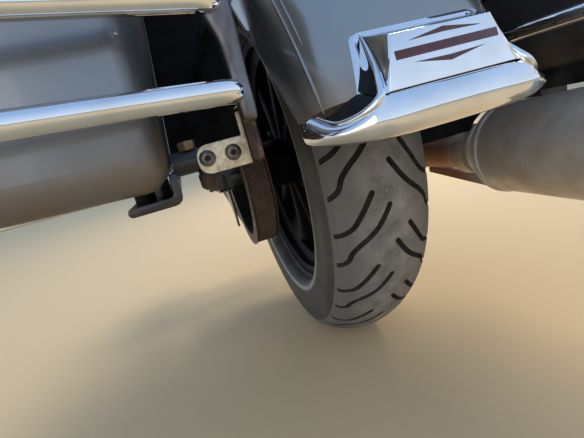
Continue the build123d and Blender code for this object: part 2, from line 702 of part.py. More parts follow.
def tip_flange():
    """The thin flange that follows the fender round the panel."""
    with BuildPart() as flange:
        add(fender_body(-SEAT_GAP - FLANGE_SKIN, open_below=False))
        with BuildSketch(ACROSS.offset(TIP_FRONT - 60)):
            with BuildLine():
                Polyline(
                    (-FLANGE_BASE[0], FLANGE_BASE[1]),
                    FLANGE_BASE,
                    FLANGE_PEAK,
                    (-FLANGE_PEAK[0], FLANGE_PEAK[1]),
                    close=True,
                )
            make_face()
            fillet(vertices().group_by(Axis.Z)[-1], 6)
        extrude(amount=60, mode=Mode.INTERSECT)
    return flange.part


# Chrome fender tip: hollow lip round the tail, and above it a flat panel between two bevels that fall
# back to a ridge on each side. A groove parts the panel from the lip.
with BuildPart() as fender_tip:
    add(tip_lip(0))
    add(tip_lip(TIP_WALL), mode=Mode.SUBTRACT)
    for height, panel, ridge, flank in (
        (PANEL_BASE, (-452.6, 55.5), (-453.0, 60.0), (-404.0, 64.0)),
        (PANEL_TOP, (-446.0, 43.0), (-420.0, 51.5), (-404.0, 56.0)),
    ):
        with BuildSketch(PLAN.offset(height)):
            with BuildLine():
                half = (panel, ridge, flank)
                Polyline(*half, *[(x, -y) for x, y in reversed(half)], close=True)
            make_face()
    loft(ruled=True)
    add(tip_flange())
    with Locations(at_axle(-453, 0, LIP_TOP + GROOVE_HEIGHT / 2)):
        Box(2 * GROOVE_DEPTH, 114, GROOVE_HEIGHT, mode=Mode.SUBTRACT)
    add(fender_body(-SEAT_GAP, open_below=False), mode=Mode.SUBTRACT)
save(fender_tip.part, "fender_tip")

# Tail lamp on the fender: housing and red lens.
with BuildPart() as tail_lamp_housing:
    with BuildSketch(ACROSS.offset(LAMP_REAR)):
        with Locations((0, LAMP_Z)):
            RectangleRounded(*LAMP_SIZE, LAMP_ROUND)
    extrude(amount=130)
    add(fender_body(-SEAT_GAP, open_below=False), mode=Mode.SUBTRACT)
save(tail_lamp_housing.part, "tail_lamp_housing")

with BuildPart() as tail_lamp_lens:
    with BuildSketch(ACROSS.offset(LAMP_REAR)):
        with Locations((0, LAMP_Z)):
            RectangleRounded(*[side - 2 * LENS_RIM for side in LAMP_SIZE], LAMP_ROUND - LENS_RIM)
    extrude(amount=-LENS_DEPTH)
    fillet(tail_lamp_lens.faces().sort_by(Axis.X)[0].edges(), LENS_DEPTH / 2)
save(tail_lamp_lens.part, "tail_lamp_lens")


def bag_block(corners, section_round, rear, front, end_round, open_height):
    """A block along X with rounded corners everywhere but round its open side."""
    with BuildPart() as block:
        with BuildSketch(ACROSS.offset(rear)):
            with BuildLine():
                Polyline(*corners, close=True)
            make_face()
            closed = vertices().filter_by(lambda corner: abs(corner.Y - open_height) > 1)
            fillet(closed, section_round)
        extrude(amount=front - rear)
        ends = block.faces().sort_by(Axis.X)[0].edges() + block.faces().sort_by(Axis.X)[-1].edges()
        open_z = AXLE_Z + open_height
        fillet(ends.filter_by(lambda edge: abs(edge.center().Z - open_z) > 0.5), end_round)
    return block.part


def bag_shell_block(inset, top):
    """The saddlebag's lower body, moved in by a distance."""
    lean_inner = (BAG_INNER_BOTTOM - BAG_INNER_TOP) / (BAG_TOP - BAG_BOTTOM)
    lean_outer = (BAG_OUTER_TOP - BAG_OUTER_BOTTOM) / (BAG_TOP - BAG_BOTTOM)
    over = top - BAG_TOP
    corners = (
        (BAG_INNER_BOTTOM + inset, BAG_BOTTOM + inset),
        (BAG_OUTER_BOTTOM - inset, BAG_BOTTOM + BAG_BOTTOM_RISE + inset),
        (BAG_OUTER_TOP - inset + over * lean_outer, top),
        (BAG_INNER_TOP + inset - over * lean_inner, top),
    )
    return bag_block(
        corners, BAG_BOTTOM_ROUND - inset, BAG_REAR + inset, BAG_FRONT - inset, BAG_END_ROUND - inset, top
    )


def lid_block(inset, base):
    """The saddlebag's lid, moved in by a distance."""
    corners = (
        (BAG_INNER_TOP + inset, base),
        (BAG_OUTER_TOP - inset, base),
        (LID_OUTER_TOP - inset, LID_TOP - inset),
        (BAG_INNER_TOP + inset, LID_TOP - inset),
    )
    return bag_block(
        corners, LID_ROUND - inset, BAG_REAR + inset, BAG_FRONT - inset, BAG_END_ROUND - inset, base
    )


hinge_y = BAG_INNER_TOP - HINGE_OUTSET


def hinge_barrel(station, length, radius):
    """A cylinder on the lid's hinge line."""
    with BuildPart() as barrel:
        with BuildSketch(ACROSS.offset(station - length / 2)):
            with Locations((hinge_y, BAG_TOP)):
                Circle(radius)
        extrude(amount=length)
    return barrel.part


# Saddlebag: open shell with hinge knuckles and pins on its inner top edge.
with BuildPart() as bag_shell:
    add(bag_shell_block(0, BAG_TOP))
    add(bag_shell_block(BAG_WALL, BAG_TOP + 1), mode=Mode.SUBTRACT)
    for station in HINGE_STATIONS:
        for offset in (-HINGE_KNUCKLE, HINGE_KNUCKLE):
            add(hinge_barrel(station + offset, HINGE_KNUCKLE - SEAL_GAP, HINGE_RADIUS))
            with BuildSketch(ACROSS.offset(station + offset - (HINGE_KNUCKLE - SEAL_GAP) / 2)):
                with Locations((hinge_y, BAG_TOP)):
                    Rectangle(
                        HINGE_OUTSET + 1.5, HINGE_RADIUS, align=(Align.MIN, Align.MAX)
                    )
            extrude(amount=HINGE_KNUCKLE - SEAL_GAP)
        add(hinge_barrel(station, 2 * HINGE_KNUCKLE, HINGE_PIN_RADIUS))
save_pair(bag_shell.part, "bag_shell")

lid_base = BAG_TOP + SEAL_GAP
with BuildPart() as bag_lid:
    add(lid_block(0, lid_base))
    add(lid_block(BAG_WALL, lid_base - 1), mode=Mode.SUBTRACT)
    for station in HINGE_STATIONS:
        add(hinge_barrel(station, HINGE_KNUCKLE - SEAL_GAP, HINGE_RADIUS))
        with BuildSketch(ACROSS.offset(station - (HINGE_KNUCKLE - SEAL_GAP) / 2)):
            with Locations((hinge_y, lid_base)):
                Rectangle(HINGE_OUTSET + 1.5, HINGE_RADIUS - SEAL_GAP, align=(Align.MIN, Align.MIN))
        extrude(amount=HINGE_KNUCKLE - SEAL_GAP)
        add(hinge_barrel(station, HINGE_KNUCKLE, HINGE_PIN_RADIUS + PIN_GAP), mode=Mode.SUBTRACT)
save_pair(bag_lid.part, "bag_lid")

# Guard rail: one chromed tube in two tiers round the bag's rear and outer side, with a flat closer
# between the tiers at the inner end and a foot under the bag.
low_side = RAIL_LOW_Z + RAIL_LOW_RISE
high_side = RAIL_HIGH_Z + RAIL_HIGH_RISE
with BuildPart() as guard_rail:
    with BuildLine() as rail_path:
        FilletPolyline(
            at_axle(RAIL_ROOT_X, RAIL_INNER_Y, RAIL_LOW_Z + RAIL_ROOT_RISE),
            at_axle(RAIL_INNER_X, RAIL_INNER_Y, RAIL_LOW_Z),
            at_axle(RAIL_OUTER_X, RAIL_BEND_Y, low_side),
            at_axle(RAIL_OUTER_X, RAIL_OUTER_Y, low_side),
            at_axle(RAIL_FRONT_X, RAIL_OUTER_Y, low_side),
            at_axle(RAIL_FRONT_X, RAIL_OUTER_Y, high_side),
            at_axle(RAIL_OUTER_X, RAIL_OUTER_Y, high_side),
            at_axle(RAIL_OUTER_X, RAIL_BEND_Y, high_side),
            at_axle(RAIL_INNER_X, RAIL_INNER_Y, RAIL_HIGH_Z),
            at_axle(RAIL_ROOT_X, RAIL_INNER_Y, RAIL_HIGH_Z),
            radius=(18, 120, 50, 22, 22, 50, 120, 18),
        )
    with BuildSketch(Plane(origin=rail_path.line @ 0, z_dir=rail_path.line % 0)):
        Circle(RAIL_RADIUS)
    sweep(path=rail_path.line)
    with BuildLine() as post_path:
        FilletPolyline(
            at_axle(POST_X, RAIL_OUTER_Y, low_side),
            at_axle(POST_X, RAIL_OUTER_Y - POST_LEAN, FOOT_Z),
            at_axle(POST_X, SUPPORT_OUTER + SEAT_GAP, FOOT_Z),
            radius=30,
        )
    with BuildSketch(Plane(origin=post_path.line @ 0, z_dir=post_path.line % 0)):
        Circle(FOOT_RADIUS)
    sweep(path=post_path.line)
    closer_sections = (
        (RAIL_LOW_Z - 2 * RAIL_RADIUS, -2.5, 9),
        (RAIL_HIGH_Z - 3 * RAIL_RADIUS, -2, 11),
        (RAIL_HIGH_Z, 1.5, 19),
    )
    for height, shift, width in closer_sections:
        with BuildSketch(PLAN.offset(height)):
            with Locations((CLOSER_X, RAIL_INNER_Y + shift)):
                RectangleRounded(CLOSER_DEPTH, width, 3.5)
    loft(ruled=True)
save_pair(guard_rail.part, "guard_rail")

# Steel tab beside the left guard's inner end.
with BuildPart() as guard_tab:
    with BuildSketch(SIDE.offset(-(RAIL_INNER_Y - RAIL_RADIUS - SEAT_GAP))):
        with Locations((TAB_REAR, TAB_BOTTOM)):
            Rectangle(*TAB_SIZE, align=(Align.MIN, Align.MIN))
        fillet(vertices().group_by(Axis.Z)[0], TAB_ROUND)
    extrude(amount=TAB_THICKNESS)
save(guard_tab.part, "guard_tab")


def bag_inner_face(height):
    """How far from the middle plane the bag's inner side stands at a height."""
    share = (height - BAG_BOTTOM) / (BAG_TOP - BAG_BOTTOM)
    return BAG_INNER_BOTTOM + (BAG_INNER_TOP - BAG_INNER_BOTTOM) * share


# Bag support: an angle rail under the bag, two hangers up to the subframe, and a cross plate that
# takes the guard rail's two ends. The left one also carries a stand-off tube with a stud under it.
rail_side = SUBFRAME_RAIL_Y + SUBFRAME_RAIL_RADIUS + SEAT_GAP
hanger_y = rail_side + HANGER_THICKNESS / 2
upright_y = SUPPORT_INNER + SUPPORT_WALL / 2
hanger_low = bag_inner_face(ROOT_PLATE_BOTTOM) - 26
hanger_high = bag_inner_face(ROOT_PLATE_TOP) - 26
with BuildPart() as bag_support:
    with BuildSketch(ACROSS.offset(SUPPORT_REAR)):
        with Locations((SUPPORT_INNER, SUPPORT_Z)):
            Rectangle(SUPPORT_WALL, SUPPORT_HEIGHT, align=(Align.MIN, Align.MIN))
            Rectangle(SUPPORT_OUTER - SUPPORT_INNER, SUPPORT_WALL, align=(Align.MIN, Align.MIN))
    extrude(amount=SUPPORT_FRONT - SUPPORT_REAR)
    for station in HANGER_STATIONS:
        with BuildSketch(ACROSS.offset(station)):
            with BuildLine():
                Polyline(
                    (hanger_y, SUBFRAME_RAIL_Z + 14),
                    (hanger_y, SUBFRAME_RAIL_Z - 22),
                    (hanger_high, ROOT_PLATE_TOP),
                    (hanger_low, ROOT_PLATE_BOTTOM + 8),
                    (upright_y, SUPPORT_Z + SUPPORT_HEIGHT / 2),
                )
            trace(line_width=HANGER_THICKNESS)
        extrude(amount=HANGER_WIDTH)
    with BuildSketch(ACROSS.offset(HANGER_STATIONS[0] - ROOT_PLATE_THICKNESS)):
        with BuildLine():
            Polyline(
                (RAIL_INNER_Y - 18, ROOT_PLATE_BOTTOM),
                (bag_inner_face(ROOT_PLATE_BOTTOM) - BAG_CLEARANCE, ROOT_PLATE_BOTTOM),
                (bag_inner_face(ROOT_PLATE_TOP) - BAG_CLEARANCE, ROOT_PLATE_TOP),
                (FENDER_HALF_WIDTH + 8, ROOT_PLATE_TOP),
                (FENDER_HALF_WIDTH + 8, RAIL_HIGH_Z),
                close=True,
            )
        make_face()
    extrude(amount=ROOT_PLATE_THICKNESS)
with BuildPart() as bag_support_right:
    mirror(bag_support.part, about=MIDDLE)
save(bag_support_right.part, "bag_support_right")

with BuildPart() as bag_support_left:
    add(bag_support.part)
    with BuildSketch(SIDE.offset(-SUPPORT_INNER)):
        with Locations((STANDOFF_X, STANDOFF_Z)):
            Circle(STANDOFF_RADIUS)
    extrude(amount=SUPPORT_INNER - STANDOFF_INNER)
    with BuildSketch(PLAN.offset(STUD_BOTTOM)):
        with Locations((STANDOFF_X, STUD_Y)):
            Circle(STUD_RADIUS)
    extrude(amount=STANDOFF_Z - STUD_BOTTOM)
save(bag_support_left.part, "bag_support_left")

# Rubber pads between the angle rail and the bag's sloping bottom.
pad_share = (PAD_Y - PAD_RADIUS - BAG_INNER_BOTTOM) / (BAG_OUTER_BOTTOM - BAG_INNER_BOTTOM)
pad_top = BAG_BOTTOM + BAG_BOTTOM_RISE * pad_share - SEAT_GAP
with BuildPart() as bag_pads:
    with BuildSketch(PLAN.offset(SUPPORT_Z + SUPPORT_WALL)):
        with Locations(*[(station, PAD_Y) for station in PAD_STATIONS]):
            Circle(PAD_RADIUS)
    extrude(amount=pad_top - SUPPORT_Z - SUPPORT_WALL)
save_pair(bag_pads.part, "bag_pads")

# Zinc bracket screwed to the stand-off tube, with an ear up to the guard rail.
bracket_plane = ACROSS.offset(STANDOFF_X - STANDOFF_RADIUS - SEAT_GAP)
ear_share = (STANDOFF_X - RAIL_INNER_X) / (RAIL_ROOT_X - RAIL_INNER_X)
ear_top = RAIL_LOW_Z + RAIL_ROOT_RISE * ear_share - RAIL_RADIUS - 1
ear_size = (BRACKET_EAR[1] - BRACKET_EAR[0], ear_top - BRACKET_Z[0])
with BuildPart() as guard_bracket:
    with BuildSketch(bracket_plane):
        with Locations((BRACKET_Y[0], BRACKET_Z[0])):
            Rectangle(BRACKET_Y[1] - BRACKET_Y[0], BRACKET_Z[1] - BRACKET_Z[0], align=(Align.MIN, Align.MIN))
        fillet(vertices().group_by(Axis.Y)[-1], BRACKET_ROUND)
        with Locations((BRACKET_EAR[0], BRACKET_Z[0])):
            Rectangle(*ear_size, align=(Align.MIN, Align.MIN))
    extrude(amount=-BRACKET_THICKNESS)
    with BuildSketch(bracket_plane.offset(-BRACKET_THICKNESS)):
        with Locations(*BRACKET_SCREWS):
            Circle(SCREW_HEAD_RADIUS)
    extrude(amount=-SCREW_HEAD_THICKNESS)
save(guard_bracket.part, "guard_bracket")

# Subframe side: rail tube, strut plate against the fender, shock stud and bolting flange.
strut_inner = FENDER_HALF_WIDTH + SEAT_GAP
strut_chord = SUBFRAME_RAIL_Z - 10
rail_top = SUBFRAME_RAIL_Z + SUBFRAME_RAIL_RADIUS
strut_reach = sqrt(STRUT_RADIUS**2 - rail_top**2)
slot_step = strut_reach * 0.49
slot_band = sqrt(STRUT_RADIUS**2 - slot_step**2) - rail_top
with BuildPart() as subframe:
    with BuildSketch(SIDE.offset(-strut_inner - STRUT_THICKNESS)):
        Circle(STRUT_RADIUS)
        Rectangle(2 * STRUT_RADIUS, 2 * STRUT_RADIUS, mode=Mode.SUBTRACT, align=(Align.CENTER, Align.MAX))
        with Locations((0, strut_chord)):
            Rectangle(2 * STRUT_RADIUS, strut_chord, mode=Mode.SUBTRACT, align=(Align.CENTER, Align.MAX))
        for station in (-slot_step, 0, slot_step):
            slot_z = (rail_top + sqrt(STRUT_RADIUS**2 - station**2)) / 2
            with Locations((station, slot_z)):
                SlotOverall(strut_reach * 0.31, slot_band * 0.4, mode=Mode.SUBTRACT)
    extrude(amount=STRUT_THICKNESS)
    with BuildSketch(ACROSS.offset(SUBFRAME_REAR)):
        with Locations((SUBFRAME_RAIL_Y, SUBFRAME_RAIL_Z)):
            Circle(SUBFRAME_RAIL_RADIUS)
    extrude(amount=SUBFRAME_FRONT - SUBFRAME_REAR)
    with BuildSketch(ACROSS.offset(SUBFRAME_FRONT)):
        with Locations((SUBFRAME_RAIL_Y, SUBFRAME_RAIL_Z)):
            RectangleRounded(FLANGE_PLATE[0], FLANGE_PLATE[1], 8)
            with Locations((0, FLANGE_BOLT_SPACING / 2), (0, -FLANGE_BOLT_SPACING / 2)):
                Circle(FLANGE_BOLT_RADIUS, mode=Mode.SUBTRACT)
    extrude(amount=FLANGE_PLATE[2])
    with BuildSketch(SIDE.offset(-SHOCK_Y - SHOCK_EYE_WIDTH / 2 - 6)):
        with Locations(SHOCK_HIGH):
            Circle(SHOCK_BOLT_RADIUS)
    extrude(amount=SHOCK_Y + SHOCK_EYE_WIDTH / 2 + 6 - SUBFRAME_RAIL_Y)
save_pair(subframe.part, "subframe")

with BuildPart() as cross_member:
    with BuildSketch(SIDE.offset(-(SUBFRAME_RAIL_Y - SUBFRAME_RAIL_RADIUS - SEAT_GAP))):
        with Locations((CROSS_MEMBER_X, SUBFRAME_RAIL_Z)):
            Circle(SUBFRAME_RAIL_RADIUS)
    extrude(amount=2 * (SUBFRAME_RAIL_Y - SUBFRAME_RAIL_RADIUS - SEAT_GAP))
save(cross_member.part, "cross_member")

# Shock absorber: two eyes, bare shaft below and covered body above.
shock_low = at_axle(SHOCK_LOW[0], SHOCK_Y, SHOCK_LOW[1])
shock_high = at_axle(SHOCK_HIGH[0], SHOCK_Y, SHOCK_HIGH[1])
shock_way = (shock_high - shock_low).normalized()
shock_length = (shock_high - shock_low).length
with BuildPart() as shock:
    with BuildSketch(Plane(origin=shock_low, x_dir=(0, 1, 0), z_dir=Vector(0, 1, 0).cross(shock_way))):
        with BuildLine():
            Polyline(
                (0, 0),
                (SHOCK_SHAFT_RADIUS, 0),
                (SHOCK_SHAFT_RADIUS, shock_length * 0.26),
                (SHOCK_BODY_RADIUS - 4, shock_length * 0.26),
                (SHOCK_BODY_RADIUS - 4, shock_length * 0.4),
                (SHOCK_BODY_RADIUS, shock_length * 0.42),
                (SHOCK_BODY_RADIUS, shock_length - 26),
                (SHOCK_BODY_RADIUS - 8, shock_length - 16),
                (SHOCK_BODY_RADIUS - 8, shock_length),
                (0, shock_length),
                close=True,
            )
        make_face()
    revolve(axis=Axis(shock_low, shock_way))
    for eye in (SHOCK_LOW, SHOCK_HIGH):
        with BuildSketch(SIDE.offset(-SHOCK_Y - SHOCK_EYE_WIDTH / 2)):
            with Locations(eye):
                Circle(SHOCK_EYE_RADIUS)
        extrude(amount=SHOCK_EYE_WIDTH)
    for eye in (SHOCK_LOW, SHOCK_HIGH):
        with BuildSketch(SIDE.offset(-SHOCK_Y - SHOCK_EYE_WIDTH)):
            with Locations(eye):
                Circle(SHOCK_BOLT_RADIUS + SEAT_GAP)
        extrude(amount=2 * SHOCK_EYE_WIDTH, mode=Mode.SUBTRACT)
save_pair(shock.part, "shock")

with BuildPart() as shock_bolts:
    for outer in (SHOCK_Y + SHOCK_EYE_WIDTH / 2 + 6, -ARM_INNER):
        with BuildSketch(SIDE.offset(-outer)):
            with Locations(SHOCK_LOW):
                Circle(SHOCK_BOLT_RADIUS)
        extrude(amount=SHOCK_Y + SHOCK_EYE_WIDTH / 2 + 6 - ARM_INNER)
save(shock_bolts.part, "shock_bolts")

# Brake caliper over the disc, on a carrier held by the axle.
caliper_turn = Plane(
    origin=(AXLE_X, 0, AXLE_Z),
    x_dir=(cos(radians(CALIPER_ANGLE)), 0, sin(radians(CALIPER_ANGLE))),
    z_dir=(0, -1, 0),
)
caliper_back = HUB_RIGHT + CALIPER_SIDE + PAD_GAP
with BuildPart() as brake_caliper:
    with BuildSketch(caliper_turn.offset(-caliper_back)):
        with Locations((CALIPER_REACH, 0)):
            RectangleRounded(CALIPER_DEPTH, 2 * CALIPER_HALF_LENGTH, CALIPER_ROUND)
    extrude(amount=carrier_inner - SEAT_GAP + caliper_back)
    with BuildSketch(caliper_turn.offset(-(HUB_RIGHT + PAD_GAP))):
        Circle(DISC_RADIUS + 4)
    extrude(amount=DISC_THICKNESS + 2 * PAD_GAP, mode=Mode.SUBTRACT)
save(brake_caliper.part, "brake_caliper")

with BuildPart() as caliper_carrier:
    with BuildSketch(caliper_turn.offset(carrier_inner)):
        Circle(CARRIER_EYE_RADIUS)
        neck = (CARRIER_PAD_REACH - CARRIER_PAD[0] / 2 + 5, CARRIER_PAD[1] / 2)
        eye = (0, CARRIER_EYE_RADIUS)
        Polygon(eye, (0, -eye[1]), (neck[0], -neck[1]), neck, align=None)
        with Locations((CARRIER_PAD_REACH, 0)):
            RectangleRounded(*CARRIER_PAD, CALIPER_ROUND)
        Circle(AXLE_RADIUS + SEAT_GAP, mode=Mode.SUBTRACT)
    extrude(amount=carrier_outer - carrier_inner)
save(caliper_carrier.part, "caliper_carrier")

# Exhaust: muffler on the right, widening to the rear, its front pipe, a clamp with a strap under the
# joint, and a saddle between the muffler and the bag support.
exhaust_line = Axis((AXLE_X, MUFFLER_Y, AXLE_Z + MUFFLER_Z), (1, 0, 0))
muffler_plane = Plane(
    origin=(AXLE_X, MUFFLER_Y, AXLE_Z + MUFFLER_Z), x_dir=(1, 0, 0), z_dir=(0, -1, 0)
)
collar_front = CLAMP_FRONT + 8
widest_x = MUFFLER_REAR + MUFFLER_END_ROUND
with BuildPart() as muffler:
    with BuildSketch(muffler_plane):
        with BuildLine():
            Polyline(
                (collar_front, 0),
                (collar_front, COLLAR_RADIUS),
                (CLAMP_REAR - 6, COLLAR_RADIUS),
                (MUFFLER_SHOULDER, MUFFLER_FRONT_RADIUS),
                (widest_x, MUFFLER_REAR_RADIUS),
                (MUFFLER_REAR, MUFFLER_REAR_RADIUS - 12),
                (MUFFLER_REAR, OUTLET_RADIUS),
                (MUFFLER_REAR + OUTLET_DEPTH, OUTLET_RADIUS),
                (MUFFLER_REAR + OUTLET_DEPTH, 0),
                close=True,
            )
        make_face()
    revolve(axis=exhaust_line)
save(muffler.part, "muffler")

with BuildPart() as exhaust_pipe:
    with BuildLine() as pipe_path:
        FilletPolyline(
            at_axle(collar_front + SEAT_GAP, MUFFLER_Y, MUFFLER_Z),
            at_axle(PIPE_RUN[0], MUFFLER_Y, MUFFLER_Z),
            at_axle(PIPE_RUN[1], MUFFLER_Y + PIPE_SHIFT_IN, MUFFLER_Z - PIPE_DROP),
            at_axle(PIPE_RUN[2], MUFFLER_Y + PIPE_SHIFT_IN, MUFFLER_Z - PIPE_DROP),
            radius=PIPE_BEND_RADIUS,
        )
    with BuildSketch(Plane(origin=pipe_path.line @ 0, z_dir=pipe_path.line % 0)):
        Circle(PIPE_RADIUS)
    sweep(path=pipe_path.line)
    with BuildSketch(Plane(origin=pipe_path.line @ 1, z_dir=pipe_path.line % 1)):
        Circle(PIPE_RADIUS - PIPE_WALL)
    extrude(amount=-PIPE_OPEN_LENGTH, mode=Mode.SUBTRACT)
save(exhaust_pipe.part, "exhaust_pipe")

clamp_radius = COLLAR_RADIUS + SEAT_GAP + CLAMP_THICKNESS
strap_top = MUFFLER_Z - PIPE_RADIUS - SEAT_GAP
with BuildPart() as exhaust_clamp:
    with BuildSketch(muffler_plane):
        with Locations(((CLAMP_FRONT + CLAMP_REAR) / 2, clamp_radius - CLAMP_THICKNESS / 2)):
            Rectangle(CLAMP_FRONT - CLAMP_REAR, CLAMP_THICKNESS)
    revolve(axis=exhaust_line)
    with BuildSketch(SIDE.offset(-MUFFLER_Y - STRAP_WIDTH / 2)):
        with BuildLine():
            Polyline(
                (STRAP_FRONT, strap_top),
                (STRAP_FRONT, strap_top - 8),
                (STRAP_REAR + 12, MUFFLER_Z - clamp_radius - 19),
                (STRAP_REAR, MUFFLER_Z - clamp_radius - 8.5),
                (CLAMP_REAR, MUFFLER_Z - clamp_radius + 0.5),
                (CLAMP_FRONT, MUFFLER_Z - clamp_radius + 0.5),
                close=True,
            )
        make_face()
    extrude(amount=STRAP_WIDTH)
save(exhaust_clamp.part, "exhaust_clamp")

flare_share = (MUFFLER_SHOULDER - SADDLE_REAR) / (MUFFLER_SHOULDER - widest_x)
saddle_radius = MUFFLER_FRONT_RADIUS + (MUFFLER_REAR_RADIUS - MUFFLER_FRONT_RADIUS) * flare_share + SEAT_GAP
with BuildPart() as muffler_saddle:
    with BuildSketch(ACROSS.offset(SADDLE_REAR)):
        with Locations((-SUPPORT_OUTER, SUPPORT_Z - SEAT_GAP)):
            Rectangle(SUPPORT_OUTER - SUPPORT_INNER, SADDLE_HEIGHT, align=(Align.MIN, Align.MAX))
        with Locations((MUFFLER_Y, MUFFLER_Z)):
            Circle(saddle_radius, mode=Mode.SUBTRACT)
    extrude(amount=SADDLE_LENGTH)
save(muffler_saddle.part, "muffler_saddle")
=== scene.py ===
"""The looks of a touring motorcycle's rear end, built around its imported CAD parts."""

import json
from math import cos, pi, radians, sin, sqrt

import bmesh
import bpy
import numpy as np
from mathutils import Matrix, Vector

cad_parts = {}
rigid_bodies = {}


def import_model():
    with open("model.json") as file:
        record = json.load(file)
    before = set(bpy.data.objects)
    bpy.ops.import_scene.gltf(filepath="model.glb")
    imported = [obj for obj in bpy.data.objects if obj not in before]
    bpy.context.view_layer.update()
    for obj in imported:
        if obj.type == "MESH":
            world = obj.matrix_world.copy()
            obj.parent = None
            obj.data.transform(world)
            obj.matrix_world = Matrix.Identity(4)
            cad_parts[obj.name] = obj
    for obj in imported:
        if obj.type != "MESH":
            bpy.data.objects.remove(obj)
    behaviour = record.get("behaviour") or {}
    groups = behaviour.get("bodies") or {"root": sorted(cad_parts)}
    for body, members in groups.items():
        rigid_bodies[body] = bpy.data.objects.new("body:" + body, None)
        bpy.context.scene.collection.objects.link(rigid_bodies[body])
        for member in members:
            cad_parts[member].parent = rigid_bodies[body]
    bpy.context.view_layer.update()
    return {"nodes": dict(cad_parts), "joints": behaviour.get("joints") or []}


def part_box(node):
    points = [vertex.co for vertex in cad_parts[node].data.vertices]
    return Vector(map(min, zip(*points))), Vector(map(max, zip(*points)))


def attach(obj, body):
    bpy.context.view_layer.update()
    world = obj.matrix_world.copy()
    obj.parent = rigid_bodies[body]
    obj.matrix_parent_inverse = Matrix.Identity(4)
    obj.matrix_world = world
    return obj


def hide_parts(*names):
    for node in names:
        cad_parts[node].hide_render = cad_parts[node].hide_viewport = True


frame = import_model()

# Where the wheel stands. The axle is read from the spin joint, and the ground is under the tyre.
wheel_joint = next(joint for joint in frame["joints"] if joint["name"] == "wheel_spin")
axle = Vector(wheel_joint["pos_m"])
ground_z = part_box("tyre")[0].z


# The camera stands low behind the left saddlebag, rolled to the left, as a phone held near the ground.
# Its place is given from the wheel's centre in millimetres, and its angles in radians.
camera_place = Vector((-716.8, 208.8, 49.1)) / 1000
camera_yaw, camera_pitch, camera_roll = -0.224, -0.211, -0.263
focal_pixels = 400.0
photo_width = 584
sensor_mm = 36.0

forward = Vector(
    (cos(camera_yaw) * cos(camera_pitch), sin(camera_yaw) * cos(camera_pitch), sin(camera_pitch))
)
level_right = Vector((sin(camera_yaw), -cos(camera_yaw), 0))
level_up = level_right.cross(forward)
right = cos(camera_roll) * level_right + sin(camera_roll) * level_up
up = -sin(camera_roll) * level_right + cos(camera_roll) * level_up
lens = bpy.data.cameras.new("photo_camera")
lens.sensor_width = sensor_mm
lens.lens = focal_pixels / photo_width * sensor_mm
lens.clip_start = 0.02
camera = bpy.data.objects.new("photo_camera", lens)
camera.matrix_world = Matrix.Translation(axle + camera_place) @ Matrix(
    (right, up, -forward)
).transposed().to_4x4()
scene_objects = bpy.context.scene.collection.objects
scene_objects.link(camera)
bpy.context.scene.camera = camera
bpy.context.scene.view_settings.view_transform = "Standard"


# Studio: a plain sand-coloured floor under an even, slightly cool sky. One broad lamp stands ahead on
# the right, so that the side towards the camera lies in soft shade. Two wide low fills stand behind.


def linear(hex_colour):
    """A written sRGB colour as the linear values that shaders take."""
    values = [int(hex_colour[start : start + 2], 16) / 255 for start in (1, 3, 5)]
    return [v / 12.92 if v <= 0.04045 else ((v + 0.055) / 1.055) ** 2.4 for v in values] + [1.0]


def add(tree, kind, inputs=None, feeds=None, **settings):
    """A shader node with its settings, its inputs as values, hex colours or links, and what it feeds."""
    made = tree.nodes.new("ShaderNode" + kind)
    for name, value in settings.items():
        setattr(made, name, value)
    for socket, value in (inputs or {}).items():
        if isinstance(value, bpy.types.NodeSocket):
            tree.links.new(value, made.inputs[socket])
        else:
            made.inputs[socket].default_value = linear(value) if isinstance(value, str) else value
    if feeds:
        output, socket = feeds
        tree.links.new(made.outputs[output], socket)
    return made


def surface(name, **sockets):
    """A new material whose shader has the given socket values, with its tree and its shader."""
    made = bpy.data.materials.new(name)
    made.use_nodes = True
    shader = made.node_tree.nodes["Principled BSDF"]
    for socket, value in sockets.items():
        value = linear(value) if isinstance(value, str) else value
        shader.inputs[socket.replace("_", " ")].default_value = value
    return made, made.node_tree, shader


floor_half = 14.0
floor_corners = ((-1, -1), (1, -1), (1, 1), (-1, 1))
floor_mesh = bpy.data.meshes.new("floor")
floor_mesh.from_pydata(
    [(axle.x + x * floor_half, y * floor_half, ground_z) for x, y in floor_corners], [], [(0, 1, 2, 3)]
)
floor = bpy.data.objects.new("floor", floor_mesh)
scene_objects.link(floor)
floor_mesh.materials.append(surface("plain_floor", Base_Color="#d6bb90", Roughness=0.9)[0])

sky = bpy.data.worlds.new("studio_sky")
bpy.context.scene.world = sky
sky.use_nodes = True
tree = sky.node_tree
tree.nodes.clear()
sky_height = add(tree, "SeparateXYZ", {"Vector": add(tree, "TexCoord").outputs["Generated"]})
sky_ramp = add(tree, "ValToRGB", {"Fac": sky_height.outputs["Z"]})
sky_ramp.color_ramp.elements[0].color = linear("#d3e4f7")
sky_ramp.color_ramp.elements[1].color = linear("#8ab0e2")
sky_glow = add(tree, "Background", {"Color": sky_ramp.outputs["Color"], "Strength": 1.08})
add(tree, "OutputWorld", {"Surface": sky_glow.outputs["Background"]})

